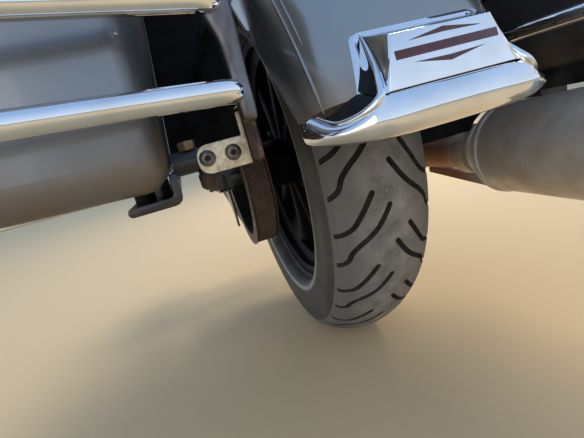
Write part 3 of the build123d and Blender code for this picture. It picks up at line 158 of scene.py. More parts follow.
for name, place, size, power, colour in (
    ("broad_lamp", (1.9, -2.2, 2.6), 1.6, 130, "#fff1dc"),
    ("low_fill", (-2.2, 1.9, 0.55), 2.4, 11, "#fff0dc"),
    ("rear_fill", (-2.6, 0.1, 0.75), 1.9, 8, "#fff3e4"),
):
    lamp_data = bpy.data.lights.new(name, "AREA")
    lamp_data.shape = "DISK"
    lamp_data.size = size
    lamp_data.energy = power
    lamp_data.color = linear(colour)[:3]
    lamp = bpy.data.objects.new(name, lamp_data)
    lamp.location = axle + Vector(place)
    lamp.rotation_euler = (axle - lamp.location).to_track_quat("-Z", "Y").to_euler()
    # The rear fill only brightens rubber and paint. Its disc would be a white spot in the chrome.
    lamp.visible_glossy = name != "rear_fill"
    scene_objects.link(lamp)


# Tyre tread, moulded in one with the casing: a worn road pattern on a round crown. Twenty pitches of
# curved grooves go round, and the right half is mirrored and set half a pitch on. Sizes are in mm.
crown_radius, tread_half, tread_drop = 320.0, 62.0, 22.5
crown_curve = (tread_half**2 + tread_drop**2) / (2 * tread_drop)
side_widest, side_foot = (71, 260), (46, 222.6)


def arc_through(first, middle, last, count):
    """Points on the circle through three points of the profile."""
    (ax, ay), (bx, by), (cx, cy) = first, middle, last
    scale = 2 * (ax * (by - cy) + bx * (cy - ay) + cx * (ay - by))
    sums = [x * x + y * y for x, y in (first, middle, last)]
    ux = (sums[0] * (by - cy) + sums[1] * (cy - ay) + sums[2] * (ay - by)) / scale
    uy = (sums[0] * (cx - bx) + sums[1] * (ax - cx) + sums[2] * (bx - ax)) / scale
    radius = sqrt((ax - ux) ** 2 + (ay - uy) ** 2)
    start, stop = np.arctan2(ay - uy, ax - ux), np.arctan2(cy - uy, cx - ux)
    angles = np.linspace(start, stop, count)
    return np.stack([ux + radius * np.cos(angles), uy + radius * np.sin(angles)], axis=1)


def rounded(points, rounds=3):
    """A polyline with its corners cut into a smooth curve."""
    points = np.array(points, dtype=float)
    for _ in range(rounds):
        near = points[:-1] * 0.75 + points[1:] * 0.25
        far = points[:-1] * 0.25 + points[1:] * 0.75
        inner = np.stack([near, far], axis=1).reshape(-1, 2)
        points = np.concatenate([points[:1], inner[1:-1], points[-1:]])
    return points


edge_turn = np.arcsin(tread_half / crown_curve)
crown_count = 60
crown_turns = np.linspace(0, edge_turn, crown_count)
crown_points = np.stack(
    [crown_curve * np.sin(crown_turns), crown_radius - crown_curve * (1 - np.cos(crown_turns))], axis=1
)
side_arc = arc_through((tread_half, crown_radius - tread_drop), side_widest, side_foot, 60)
upper_side = side_arc[side_arc[:, 1] >= side_widest[1]]
lower_side = rounded(
    [side_widest, (71, 236), (69.5, 224), (60, 218), (50, 216.2), (46.6, 213.6)], 4
)
half_profile = np.concatenate([crown_points, upper_side[1:], lower_side])
lengths = np.concatenate([[0], np.cumsum(np.hypot(*np.diff(half_profile, axis=0).T))])
past_shoulder = 12.0
band_reach = lengths[crown_count - 1] + past_shoulder
pitch_degrees, pitch_columns, band_rows = 18.0, 56, 84
mm_per_degree = 5.38


def along_profile(y):
    """The distance from the crown's middle to a place y mm to the side, along the tread."""
    widening = 80
    return np.sign(y) * np.interp(abs(y), half_profile[:widening, 0], lengths[:widening])


# Each groove goes through places given in degrees round the wheel and mm from the middle.
long_groove = [(0.3, 3.4), (5.2, 19.3), (10.3, 50.4), (13.9, 54.2), (16.7, 70.3)]
short_groove = [(-3, 22), (2.3, 39), (5.4, 50.2), (7.5, 70)]
first_pitch = 190.0
shoulder, farthest = 66, 70.9
groove_lines = []
for groove in (long_groove, short_groove):
    for hand, shift in ((1, 0.0), (-1, pitch_degrees / 2)):
        line = []
        for turn, y in groove:
            aside = float(along_profile(min(y, farthest)) + max(0, y - shoulder))
            line.append(((turn + first_pitch + shift) * mm_per_degree, hand * aside))
        groove_lines.append(rounded(line))

# Grid of one pitch, with each point's distance from the nearest groove line. Points near a groove's
# edge are moved onto it, so that the edge is crisp.
column_turns = np.arange(pitch_columns) * pitch_degrees / pitch_columns
band_places = np.linspace(-band_reach, band_reach, band_rows)
grid = np.stack(np.meshgrid(column_turns * mm_per_degree, band_places, indexing="ij"), axis=-1)
nearest = np.full(grid.shape[:2], 1e9)
towards = np.zeros_like(grid)
round_length = pitch_degrees * mm_per_degree
for line in groove_lines:
    for start, stop in zip(line[:-1], line[1:]):
        base_shift = np.floor(start[0] / round_length) * round_length
        for turn in (-1, 0, 1):
            a = start - [base_shift + turn * round_length, 0]
            b = stop - [base_shift + turn * round_length, 0]
            run = b - a
            share = np.clip(((grid - a) @ run) / max(run @ run, 1e-9), 0, 1)
            away = grid - (a + share[..., None] * run)
            reach = np.hypot(away[..., 0], away[..., 1])
            closer = reach < nearest
            nearest[closer] = reach[closer]
            towards[closer] = away[closer]
groove_edge, groove_floor, groove_depth = 3.3, 2.5, 4.8
step_size = 1.9
snap = np.abs(nearest - groove_edge) < step_size / 2
shift_out = (groove_edge - nearest)[..., None] * towards / np.maximum(nearest, 1e-6)[..., None]
shift_out[:, (0, -1)] = 0
grid = grid + np.where(snap[..., None], shift_out, 0)
depth = np.clip((groove_edge - nearest) / (groove_edge - groove_floor), 0, 1)
depth[snap] = 0
fade_end, fade_run = band_reach - 2, 8
fade = np.clip((fade_end - np.abs(grid[..., 1])) / fade_run, 0, 1)
depth = depth * groove_depth * fade

# The grid laid on the profile, and sunk square to it where a groove runs.
flat = np.abs(grid[..., 1])
profile_y = np.interp(flat, lengths, half_profile[:, 0]) * np.sign(grid[..., 1])
profile_r = np.interp(flat, lengths, half_profile[:, 1])
slope = np.gradient(half_profile, axis=0)
slope = slope / np.hypot(slope[:, 0], slope[:, 1])[:, None]
lean_y = np.interp(flat, lengths, -slope[:, 1]) * np.sign(grid[..., 1])
lean_r = np.interp(flat, lengths, slope[:, 0])
band_y = profile_y - lean_y * depth
band_r = profile_r - lean_r * depth

tread_verts = []
pitches = int(360 / pitch_degrees)
for pitch in range(pitches):
    turns = np.radians(grid[..., 0] / mm_per_degree + pitch * pitch_degrees)
    places = np.stack([band_r * np.cos(turns), band_y, band_r * np.sin(turns)], axis=-1) / 1000
    tread_verts.append((places + np.array(axle)).reshape(-1, 3))
tread_verts = np.concatenate(tread_verts)
# Quads with one corner down in a groove and one up on the tread are split along the groove's edge.
on_tread, on_edge, in_groove = 0, 1, 2
state = np.where(depth > groove_depth * 0.45, in_groove, np.where(snap, on_edge, on_tread))
state = np.tile(state, (pitches, 1)).reshape(-1)
index = np.arange(state.size).reshape(-1, band_rows)
ahead = np.roll(index, -1, axis=0)
beside, ahead_beside = np.roll(index, -1, axis=1), np.roll(ahead, -1, axis=1)
quads = np.stack([index, beside, ahead_beside, ahead], axis=-1).reshape(-1, 4)
corner_state = state[quads]
split = (corner_state.max(axis=1) == in_groove) & (corner_state.min(axis=1) == on_tread)
even = split & (corner_state[:, 0] == on_edge) & (corner_state[:, 2] == on_edge)
odd = split & (corner_state[:, 1] == on_edge) & (corner_state[:, 3] == on_edge) & ~even
cuts = ((even, (0, 1, 2)), (even, (0, 2, 3)), (odd, (0, 1, 3)), (odd, (1, 2, 3)))
triangles = np.concatenate([quads[chosen][:, corners] for chosen, corners in cuts])
kept_quads = quads[~(even | odd)]
tread_faces = kept_quads.tolist() + triangles.tolist()
tread_slots = np.concatenate([state[group].max(axis=1) == in_groove for group in (kept_quads, triangles)])


def grain(tree, size_mm, low=0.0, high=1.0, detail=3.0, stretch=(1, 1, 1)):
    """A noise of a given size in millimetres, with the range from low to high spread over 0 to 1."""
    place = add(tree, "TexCoord").outputs["Object"]
    scaled = add(tree, "Mapping", {"Vector": place, "Scale": stretch})
    noise = add(
        tree, "TexNoise", {"Vector": scaled.outputs["Vector"], "Scale": 1000 / size_mm, "Detail": detail}
    )
    spread = add(tree, "MapRange", {"Value": noise.outputs["Fac"], "From Min": low, "From Max": high})
    return spread.outputs["Result"]


def metres(tree, axis):
    """How far a point lies along one of the row's axes."""
    return add(tree, "SeparateXYZ", {"Vector": add(tree, "TexCoord").outputs["Object"]}).outputs[axis]


# Worn rubber with road dust pressed in: brown-grey, paler in the middle, with small pale grit specks.
tread_rubber, tree, shader = surface("dusty_worn_tread", Roughness=0.78)
off_middle = add(tree, "Math", {0: metres(tree, "Y")}, operation="ABSOLUTE").outputs["Value"]
centre_wear = add(
    tree, "MapRange", {"Value": off_middle, "From Min": 0.052, "From Max": 0.012}
).outputs["Result"]
blotch = grain(tree, 26, 0.32, 0.68)
dust_amount = add(tree, "Math", {0: centre_wear, 1: blotch}, operation="MULTIPLY").outputs["Value"]
# On a Mix node, input 0 is the share, 6 and 7 are the colours, and output 2 is the mixed colour.
rubber = add(tree, "Mix", {0: dust_amount, 6: "#6d6965", 7: "#94908a"}, data_type="RGBA").outputs[2]
speck_noise = grain(tree, 1.9, 0.62, 0.74, detail=2.0)
speck_amount = add(tree, "Math", {0: speck_noise, 1: centre_wear}, operation="MULTIPLY").outputs["Value"]
add(
    tree, "Mix", {0: speck_amount, 6: rubber, 7: "#b0aca3"}, (2, shader.inputs["Base Color"]),
    data_type="RGBA",
)
add(
    tree, "Bump",
    {"Height": grain(tree, 1.6, 0.3, 0.7, detail=4.0), "Distance": 0.25 / 1000, "Strength": 0.8},
    ("Normal", shader.inputs["Normal"]),
)


def weathered(name, patches, colours, roughness=None, relief=None, **sockets):
    """A finish that goes from one colour to the other by patches, which are a grain's values.

    The roughness can follow the patches. A relief is a grain's values, a height in mm and a strength.
    """
    made, tree, shader = surface(name, **sockets)
    share = grain(tree, *patches)
    add(
        tree, "Mix", {0: share, 6: colours[0], 7: colours[1]}, (2, shader.inputs["Base Color"]),
        data_type="RGBA",
    )
    if roughness:
        ends = {"Value": share, "To Min": roughness[0], "To Max": roughness[1]}
        add(tree, "MapRange", ends, ("Result", shader.inputs["Roughness"]))
    if relief:
        pattern, height_mm, strength = relief
        bumps = {"Height": grain(tree, *pattern), "Distance": height_mm / 1000, "Strength": strength}
        add(tree, "Bump", bumps, ("Normal", shader.inputs["Normal"]))
    return made


# Rubber down in the grooves, darker and matt. The dark is partly unworn rubber and partly painted shade in
# the recesses.
groove_rubber = weathered("groove_rubber", (9, 0.35, 0.7), ("#1f1d1b", "#393531"), Roughness=0.85)


def piece(name, verts, faces, materials, slot, body="rear_frame", sharp=35, face_slots=None):
    """A smooth-shaded mesh object in row metres that rides on a body."""
    mesh = bpy.data.meshes.new(name)
    mesh.from_pydata([tuple(v) for v in verts], [], [tuple(f) for f in faces])
    for material in materials:
        mesh.materials.append(material)
    if face_slots is not None:
        mesh.polygons.foreach_set("material_index", np.asarray(face_slots, dtype=np.int32))
    shape = bmesh.new()
    shape.from_mesh(mesh)
    bmesh.ops.recalc_face_normals(shape, faces=shape.faces[:])
    shape.to_mesh(mesh)
    shape.free()
    mesh.polygons.foreach_set("use_smooth", np.ones(len(mesh.polygons), dtype=bool))
    mesh.set_sharp_from_angle(angle=radians(sharp))
    made = bpy.data.objects.new(name, mesh)
    scene_objects.link(made)
    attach(made, body)
    return made


tread = piece(
    "tyre_tread", tread_verts, tread_faces, [tread_rubber, groove_rubber], "tyre", "wheel",
    face_slots=tread_slots,
)

# Tyre sidewalls and beads, smooth moulded rubber with fine rings, closed inside round the rim. One pale
# stripe on the left is part of the moulding. It is dusty, so it reads as warm grey.
sidewall_rubber = weathered(
    "sidewall_rubber", (30, 0.35, 0.75), ("#3a3733", "#524d46"), relief=((1.2, 0.3, 0.7), 0.08, 0.6),
    Roughness=0.62,
)
stripe_rubber = weathered("pale_stripe", (14, 0.3, 0.7), ("#a3a19b", "#7d7a72"), Roughness=0.6)
start = int(np.searchsorted(lengths, band_reach - 0.6))
outer_side = half_profile[start:].tolist()
for ring_radius, ring_height in ((284, -0.6), (279, -0.6), (250, -0.7), (246, -0.7)):
    for point in outer_side:
        if abs(point[1] - ring_radius) < 1.0:
            point[0] += ring_height
inner_side = [
    (46.5, 217.7), (44, 217.8), (37.7, 217.6), (37.7, 203.8), (24.7, 203.8), (26, 217),
    (40, 232), (61.5, 262), (52, 276), (20, 280),
]
left_half = outer_side + inner_side
casing = left_half + [(-y, r) for y, r in reversed(left_half)]


def lathe(profile, steps, origin, direction, hexed=()):
    """Verts and faces of a closed profile of (along, radius) in millimetres turned about a line."""
    direction = Vector(direction).normalized()
    side = direction.orthogonal().normalized()
    other = direction.cross(side)
    verts, faces = [], []
    count = len(profile)
    for step in range(steps):
        turn = 2 * pi * step / steps
        spoke = side * cos(turn) + other * sin(turn)
        flat = cos(pi / 6) / cos((turn % (pi / 3)) - pi / 6)
        for index, (along, radius) in enumerate(profile):
            reach = radius * flat if index in hexed else radius
            verts.append(Vector(origin) + (direction * along + spoke * reach) / 1000)
        base, after = step * count, (step + 1) % steps * count
        for index in range(count):
            ahead = (index + 1) % count
            faces.append((base + index, after + index, after + ahead, base + ahead))
    return verts, faces


verts, faces = lathe(casing, 300, axle, (0, 1, 0))
stripe_low, stripe_high, left_from = 226.5, 233.5, 0.045
stripe_faces = []
for face in faces:
    middle = sum((Vector(verts[v]) for v in face), Vector()) / 4 - axle
    radius = sqrt(middle.x**2 + middle.z**2) * 1000
    stripe_faces.append(stripe_low < radius < stripe_high and middle.y > left_from)
casing = piece(
    "tyre_casing", verts, faces, [sidewall_rubber, stripe_rubber], "tyre", "wheel",
    face_slots=stripe_faces,
)
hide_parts("tyre")
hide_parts("tyre")

# Cast wheel and brake caliper, aluminium castings in satin black paint. The black is set darker than
# the paint, a painted shade for the wheel's deep interior. The grain of the cast skin and a film of brake
# dust keep the black from going flat.


def dress(material, *names):
    """Gives CAD nodes a material in each of their slots."""
    for name in names:
        for slot in frame["nodes"][name].material_slots:
            slot.material = material


cast_black_and_shade = weathered(
    "satin_black_cast_painted_shade", (45, 0.45, 0.85), ("#040405", "#0a0909"), roughness=(0.6, 0.85),
    relief=((0.9, 0.3, 0.7), 0.12, 0.5), Specular_IOR_Level=0.2,
)
dress(cast_black_and_shade, "wheel_rim", "brake_caliper")

# Toothed rear pulley, machined aluminium, anodised dark grey and bolted to the hub. Its lips are worn
# to a coppery brown where the belt rubs, which draws a thin warm ring on each side.


def from_axle(tree):
    """A point's place from the wheel's centre."""
    place = add(tree, "TexCoord").outputs["Object"]
    return add(tree, "VectorMath", {0: place, 1: axle}, operation="SUBTRACT").outputs["Vector"]


pulley_metal, tree, shader = surface("worn_pulley", Metallic=0.7)
flat_place = add(
    tree, "VectorMath", {0: from_axle(tree), 1: (1, 0, 1)}, operation="MULTIPLY"
).outputs["Vector"]
radius = add(tree, "VectorMath", {0: flat_place}, operation="LENGTH").outputs["Value"]
lip = add(tree, "MapRange", {"Value": radius, "From Min": 0.1255, "From Max": 0.1285}).outputs["Result"]
add(tree, "Mix", {0: lip, 6: "#2b2723", 7: "#6b5646"}, (2, shader.inputs["Base Color"]), data_type="RGBA")
add(
    tree, "MapRange", {"Value": grain(tree, 8, 0.3, 0.7), "To Min": 0.35, "To Max": 0.6},
    ("Result", shader.inputs["Roughness"]),
)
dress(pulley_metal, "rear_pulley")

# Drive belt, moulded rubber over cords in one endless loop. Road dust on its back makes it read as a
# dull brown more than as black.
belt_rubber = weathered(
    "ribbed_belt", (12, 0.3, 0.75), ("#705b4c", "#9c8674"), relief=((1.0, 0.3, 0.7), 0.1, 0.6),
    Roughness=0.7,
)
dress(belt_rubber, "belt_upper_run", "belt_lower_run", "belt_front_wrap")

# Brake disc, axle, nut, spacers, bearings and shock bolts, ground and turned steel left bare. Fine
# turning marks round the axle spread their highlights into soft rings.
turned_steel, tree, shader = surface("turned_steel", Metallic=1.0, Roughness=0.34)
rings = add(
    tree, "TexWave", {"Vector": from_axle(tree), "Scale": 320.0, "Distortion": 0.6, "Detail": 2.0},
    wave_type="RINGS", rings_direction="Y",
)
add(
    tree, "Mix", {0: grain(tree, 20, 0.3, 0.7), 6: "#a3a19c", 7: "#7f7c76"},
    (2, shader.inputs["Base Color"]), data_type="RGBA",
)
add(
    tree, "Bump", {"Height": rings.outputs["Fac"], "Distance": 0.02 / 1000, "Strength": 0.5},
    ("Normal", shader.inputs["Normal"]),
)
dress(turned_steel, "brake_disc", "axle", "axle_nut", "axle_spacers", "wheel_bearings", "shock_bolts")

# Swingarm, shocks, subframe and caliper carrier, welded steel in gloss black enamel. Gloss shows only
# between patches of road dust, which turn it matt and brownish.
frame_black = weathered(
    "gloss_black_enamel", (55, 0.42, 0.8), ("#0a0a0b", "#2f2b26"), roughness=(0.22, 0.65),
    Coat_Weight=0.6, Coat_Roughness=0.12,
)
dress(
    frame_black, "swingarm_pivot", "swingarm_left", "swingarm_right", "swingarm_cross_tube",
    "shock_left", "shock_right", "subframe_left", "subframe_right", "cross_member", "caliper_carrier",
)

# Fender, pressed steel, and saddlebags, moulded shells with hinged lids, in pewter metallic paint under
# clear coat. Fine flakes soften the highlights. The fender's flakes are paler than the bags', painted
# light on it. Towards the bags' lower edges tan dust is laid with a painted reflection of the sand floor,
# and on their inner walls dark grime with painted shade from the fender.
pewter, tree, shader = surface("pewter_metallic_paint", Coat_Roughness=0.05)
# Tan towards the bottom: road dust, and a painted reflection of the sand floor in the clear coat.
low_tan_band = add(
    tree, "MapRange", {"Value": metres(tree, "Z"), "From Min": 0.068, "From Max": 0.008}
).outputs["Result"]
dust_patch = grain(tree, 38, 0.3, 0.75)
off_middle = add(tree, "Math", {0: metres(tree, "Y")}, operation="ABSOLUTE").outputs["Value"]
# A band on the bags' inner walls, darkened as grime and as painted shade between bag and fender.
inner_wall_band = add(
    tree, "MapRange", {"Value": off_middle, "From Min": 0.230, "From Max": 0.218, "To Max": 0.9}
).outputs["Result"]
not_fender = add(
    tree, "MapRange", {"Value": off_middle, "From Min": 0.12, "From Max": 0.15}
).outputs["Result"]
wall_grime_and_shade = add(tree, "Math", {0: inner_wall_band, 1: not_fender}, operation="MULTIPLY").outputs["Value"]
both_dusts = add(tree, "Math", {0: low_tan_band, 1: wall_grime_and_shade}, operation="MAXIMUM").outputs["Value"]
patchy = add(tree, "MapRange", {"Value": dust_patch, "To Min": 0.4, "To Max": 1.0}).outputs["Result"]
dust = add(tree, "Math", {0: both_dusts, 1: patchy}, operation="MULTIPLY").outputs["Value"]
flake_noise = grain(tree, 0.5, 0.35, 0.65, detail=1.0)
bag_flakes = add(tree, "Mix", {0: flake_noise, 6: "#787b80", 7: "#84878b"}, data_type="RGBA").outputs[2]
# The fender's flakes are paler than the bags': painted light, a lighter copy of the same paint.
lit_fender_flakes = add(
    tree, "Mix", {0: flake_noise, 6: "#969590", 7: "#a3a19b"}, data_type="RGBA"
).outputs[2]
flakes = add(tree, "Mix", {0: not_fender, 6: lit_fender_flakes, 7: bag_flakes}, data_type="RGBA").outputs[2]
# Grey on the inner walls: grime and painted shade.
dark_walls = add(tree, "Mix", {0: wall_grime_and_shade, 6: flakes, 7: "#35363a"}, data_type="RGBA").outputs[2]
# The tan low band is dust and a painted reflection of the floor.
tan_dust_and_floor_reflection = add(tree, "Math", {0: low_tan_band, 1: patchy}, operation="MULTIPLY").outputs["Value"]
add(
    tree, "Mix", {0: tan_dust_and_floor_reflection, 6: dark_walls, 7: "#765f43"}, (2, shader.inputs["Base Color"]),
    data_type="RGBA",
)
for socket, cover, clean, dusty in (
    ("Coat Weight", both_dusts, 1.0, 0.04), ("Metallic", dust, 0.75, 0.1), ("Roughness", dust, 0.24, 0.7),
):
    ends = {"Value": cover, "To Min": clean, "To Max": dusty}
    add(tree, "MapRange", ends, ("Result", shader.inputs[socket]))
dress(pewter, "fender", "bag_shell_left", "bag_shell_right", "bag_lid_left", "bag_lid_right")

# Guard rails, bent tube, and fender tip and lamp housing, castings, all chrome-plated. The plate is a
# mirror with a haze of dust and shallow waves, so that what it reflects bends a little.
chrome = weathered(
    "bright_chrome", (24, 0.42, 0.85), ("#f4f4f6", "#e6e4e1"), roughness=(0.04, 0.12),
    relief=((60, 0.2, 0.8, 1.0), 0.1, 0.2), Metallic=1.0,
)
dress(chrome, "guard_rail_left", "guard_rail_right", "fender_tip", "tail_lamp_housing")

# Muffler, rolled from chromed sheet, with its bent pipe and clamp. Road dirt has turned the chrome
# brown-grey. The pipe is coppery brown where it runs hot at the clamp, and scaled grey further on.
old_chrome, tree, shader = surface("dirty_chrome", Metallic=0.5)
along = metres(tree, "X")
heat = add(tree, "MapRange", {"Value": along, "From Min": -0.72, "From Max": -0.66}).outputs["Result"]
dirt = grain(tree, 30, 0.35, 0.75)
metal = add(tree, "Mix", {0: dirt, 6: "#d0c9c0", 7: "#b5a28f"}, data_type="RGBA").outputs[2]
cooler = add(tree, "MapRange", {"Value": along, "From Min": -0.6, "From Max": -0.42}).outputs["Result"]
scale = add(tree, "Mix", {0: dirt, 6: "#6e6762", 7: "#8f7d6c"}, data_type="RGBA").outputs[2]
heated = add(tree, "Mix", {0: cooler, 6: "#a8714f", 7: scale}, data_type="RGBA").outputs[2]
add(tree, "Mix", {0: heat, 6: metal, 7: heated}, (2, shader.inputs["Base Color"]), data_type="RGBA")
add(
    tree, "MapRange", {"Value": dirt, "To Min": 0.42, "To Max": 0.58},
    ("Result", shader.inputs["Roughness"]),
)
dress(old_chrome, "muffler", "exhaust_pipe", "exhaust_clamp")

# Bag supports, muffler saddle and belt guard, folded steel with thin dark paint. Dust lies on it in
# patches, so its sheen breaks up.
dark_steel = weathered(
    "dusty_dark_steel", (28, 0.4, 0.75), ("#14161b", "#3d362e"), roughness=(0.28, 0.75), Coat_Weight=0.4,
    Coat_Roughness=0.15,
)
dress(dark_steel, "bag_support_left", "bag_support_right", "muffler_saddle", "belt_guard")

# Bracket on the stand-off tube, a steel pressing with dull zinc plating. The zinc has begun to bloom,
# so its cream grey is speckled.
zinc = weathered(
    "dull_zinc", (5, 0.4, 0.7, 4.0), ("#f0e7cf", "#c4b699"), relief=((5, 0.4, 0.7, 4.0), 0.1, 0.4),
    Metallic=0.45, Roughness=0.5,
)
dress(zinc, "guard_bracket")

# Tab beside the left guard, flat steel left bare. Patches of brown rust stand a little proud of the
# dark scale.
rust = weathered(
    "brown_rust", (9, 0.35, 0.65, 5.0), ("#322c2a", "#6d5445"), relief=((9, 0.35, 0.65, 5.0), 0.25, 0.7),
    Metallic=0.1, Roughness=0.75,
)
dress(rust, "guard_tab")

# Pads under the bags, turned from black rubber and bonded to the support rails. Rubber dust greys
# them in fine specks.
pad_rubber = weathered("black_pad_rubber", (6,), ("#0e0e0e", "#262321"), Roughness=0.8)
dress(pad_rubber, "bag_pads_left", "bag_pads_right")

# Fender tip, a chrome-plated die casting that wraps the fender's tail. Its lip is a bowed bar whose
# crest falls towards the sides. The hollow between crest and fender is matt black, painted shade that
# stands in for the dark reflections there.


def smooth_net(net, per_column, per_row):
    """A grid of points made finer in both directions with a curve that passes through each of them."""
    for axis_number, count in ((0, per_column), (1, per_row)):
        points = np.moveaxis(net, axis_number, 0)
        padded = np.concatenate([2 * points[:1] - points[1:2], points, 2 * points[-1:] - points[-2:-1]])
        finer = []
        for start in range(len(points) - 1):
            a, b, c, d = padded[start : start + 4]
            for share in np.arange(count) / count:
                finer.append(
                    0.5 * (2 * b + (c - a) * share + (2 * a - 5 * b + 4 * c - d) * share**2
                           + (3 * b - a - 3 * c + d) * share**3)
                )
        finer.append(points[-1])
        net = np.moveaxis(np.array(finer), 0, axis_number)
    return net


def ring_solid(rings, loop=False):
    """Verts and faces of a closed body through rings of millimetre points, with flat ends or a loop."""
    rings = np.asarray(rings, dtype=float)
    count = rings.shape[1]
    total = len(rings) * count
    faces = []
    for start in range(0, total if loop else total - count, count):
        after = (start + count) % total
        for n in range(count):
            ahead = (n + 1) % count
            faces.append((start + n, start + ahead, after + ahead, after + n))
    if not loop:
        faces += [tuple(range(count)), tuple(range(total - count, total))]
    return [axle + Vector(point) / 1000 for point in rings.reshape(-1, 3)], faces


# Matt black with dust in it, a painted shade that makes the hollow look deep beside the chrome.
hollow_painted_shade = weathered(
    "hollow_black_painted_shade", (18, 0.4, 0.8), ("#07080a", "#1a1714"), roughness=(0.5, 0.8),
    Specular_IOR_Level=0.3,
)
# Columns go from the middle to the left end. Each lists its section in mm from the axle, from the fender
# over the crest to the underside.
lip_columns = (
    ((-436, 0, 56.4), (-452.6, 0, 56.2), (-458.8, 0, 49), (-461, 0, 38.5),
     (-457.2, 0, 29.3), (-449, 0, 24.6), (-444, 0, 28)),
    ((-436, 30, 56.4), (-452.4, 30, 56.2), (-458.4, 30, 48.8), (-460.6, 30, 38.3),
     (-456.8, 30, 29.2), (-448.6, 30, 24.6), (-444, 30, 28)),
    ((-434, 54, 56.4), (-451.6, 56, 56), (-456.9, 57, 48.2), (-459.2, 57, 37.8),
     (-455.4, 56, 29), (-447.4, 54, 24.9), (-443, 53, 28)),
    ((-431, 65, 62), (-452.4, 63.6, 55.6), (-455.6, 66, 47.6), (-457, 67, 37.6),
     (-453.2, 66, 29.2), (-445, 64, 25.4), (-440, 62, 28.5)),
    ((-428, 73, 61), (-450.4, 71.1, 49.9), (-453, 74, 44.2), (-453.4, 75.5, 37),
     (-449.8, 74.5, 29.4), (-442, 72, 26), (-437, 70, 29)),
    ((-423, 84, 55.5), (-441, 80.6, 45.6), (-443.4, 87, 41.6), (-443.2, 91.5, 36.2),
     (-439, 90.5, 30.6), (-431.5, 88, 27.8), (-427, 85, 30.5)),
    ((-416, 92, 51.5), (-430, 90.4, 44.4), (-430.8, 98, 42.8), (-428.6, 104, 37.8),
     (-425.4, 103, 32.2), (-419.5, 99, 30.3), (-415, 94, 32.5)),
    ((-408, 96.5, 53), (-418, 96, 49), (-417.4, 104, 48), (-414.6, 110.4, 41),
     (-412, 109, 34.4), (-408.4, 104.5, 32.4), (-406, 98, 34)),
    ((-400, 98, 54.5), (-405.6, 100.5, 54.6), (-406.4, 107, 52.4), (-404.6, 111.3, 44.4),
     (-402.8, 110, 36.4), (-401, 104, 34), (-400, 98, 35.5)),
    ((-395, 98, 52.5), (-396.5, 100, 53), (-396.6, 103, 50), (-396.2, 104, 43),
     (-396, 102.4, 38), (-396, 100, 37), (-395, 98, 38)),
)
left_half = np.array(lip_columns, dtype=float)
# A ledge in the hollow, a little below the line from the fender to the crest.
ledge = left_half[:, :1] * 0.35 + left_half[:, 1:2] * 0.65 + (0, 0, -1.2)
left_half = np.concatenate([left_half[:, :1], ledge, left_half[:, 1:]], axis=1)
right_half = left_half[:0:-1] * (1, -1, 1)
lip_net = smooth_net(np.concatenate([right_half, left_half]), 8, 6)
verts, faces = ring_solid(lip_net)
crest_row, ring_count = 11, lip_net.shape[1]
in_recess = [n % ring_count < crest_row for n in range(len(faces) - 2)] + [False] * 2
tip_lip = piece(
    "tip_lip", verts, faces, [chrome, hollow_painted_shade], "chrome", sharp=60, face_slots=in_recess
)

# The tip's flat panel, part of the same chromed casting. It stands on a block whose face leans back with
# the fender's tail, and a groove parts it from the lip.


def bevel_edges(obj, width_mm):
    """Rounds a piece's hard edges."""
    shape = bmesh.new()
    shape.from_mesh(obj.data)
    hard = [edge for edge in shape.edges if edge.is_manifold and edge.calc_face_angle() > radians(25)]
    bmesh.ops.bevel(
        shape, geom=hard, offset=width_mm / 1000, segments=2, profile=0.5, affect="EDGES",
        clamp_overlap=True,
    )
    shape.to_mesh(obj.data)
    shape.free()
    obj.data.polygons.foreach_set("use_smooth", np.ones(len(obj.data.polygons), dtype=bool))
    obj.data.set_sharp_from_angle(angle=radians(40))


block_left = ((-452.6, 55.5, 57), (-446, 43, 96), (-412, 49, 105), (-430, 57.5, 57))
block = [[(x, hand * y, z) for x, y, z in block_left] for hand in (1, -1)]
tip_panel = piece("tip_panel", *ring_solid(block), [chrome], "chrome")
bevel_edges(tip_panel, 0.7)

# On each side of the panel a wing of the casting rises to a ridge and falls into the hollow, which is
# painted black as shade. A polished bead follows the ridge and runs on along the lip's crest, and a
# dark line, a painted shadow of the groove, borders the panel.


def bead(route, radii, sides):
    """Verts and faces of a round bead with the given radii along a route of millimetre points."""
    side = None
    rings = []
    for point, run, radius in zip(route, np.gradient(np.asarray(route, dtype=float), axis=0), radii):
        run = Vector(run).normalized()
        side = run.orthogonal() if side is None else side - run * side.dot(run)
        side = side.normalized()
        other = run.cross(side)
        turns = np.linspace(0, 2 * pi, sides, endpoint=False)
        rings.append([Vector(point) + (side * cos(turn) + other * sin(turn)) * radius for turn in turns])
    return ring_solid(rings)


ridge = (
    (-418, 51.8, 106), (-421, 52.4, 102.8), (-428, 53.1, 91.2), (-438, 55.3, 75.6),
    (-449, 60.7, 62.3), (-453.6, 64.1, 55.9), (-451.2, 71.1, 49.9), (-442, 80.2, 45.5),
    (-430.4, 89.9, 44.2), (-419, 94.6, 48), (-409, 98, 53),
)
ridge_radii = (0.7, 1.1, 1.7, 2.3, 2.9, 3.2, 3.2, 3, 2.6, 2, 1.2)
foot = (
    (-411.2, 50.6, 105.6), (-417.4, 54.5, 95), (-422.8, 58.6, 85), (-427, 63.6, 74.5),
    (-430, 69, 64),
)
panel_corner, panel_top = np.array((-452.6, 55.5, 57)), np.array((-446, 43, 96))
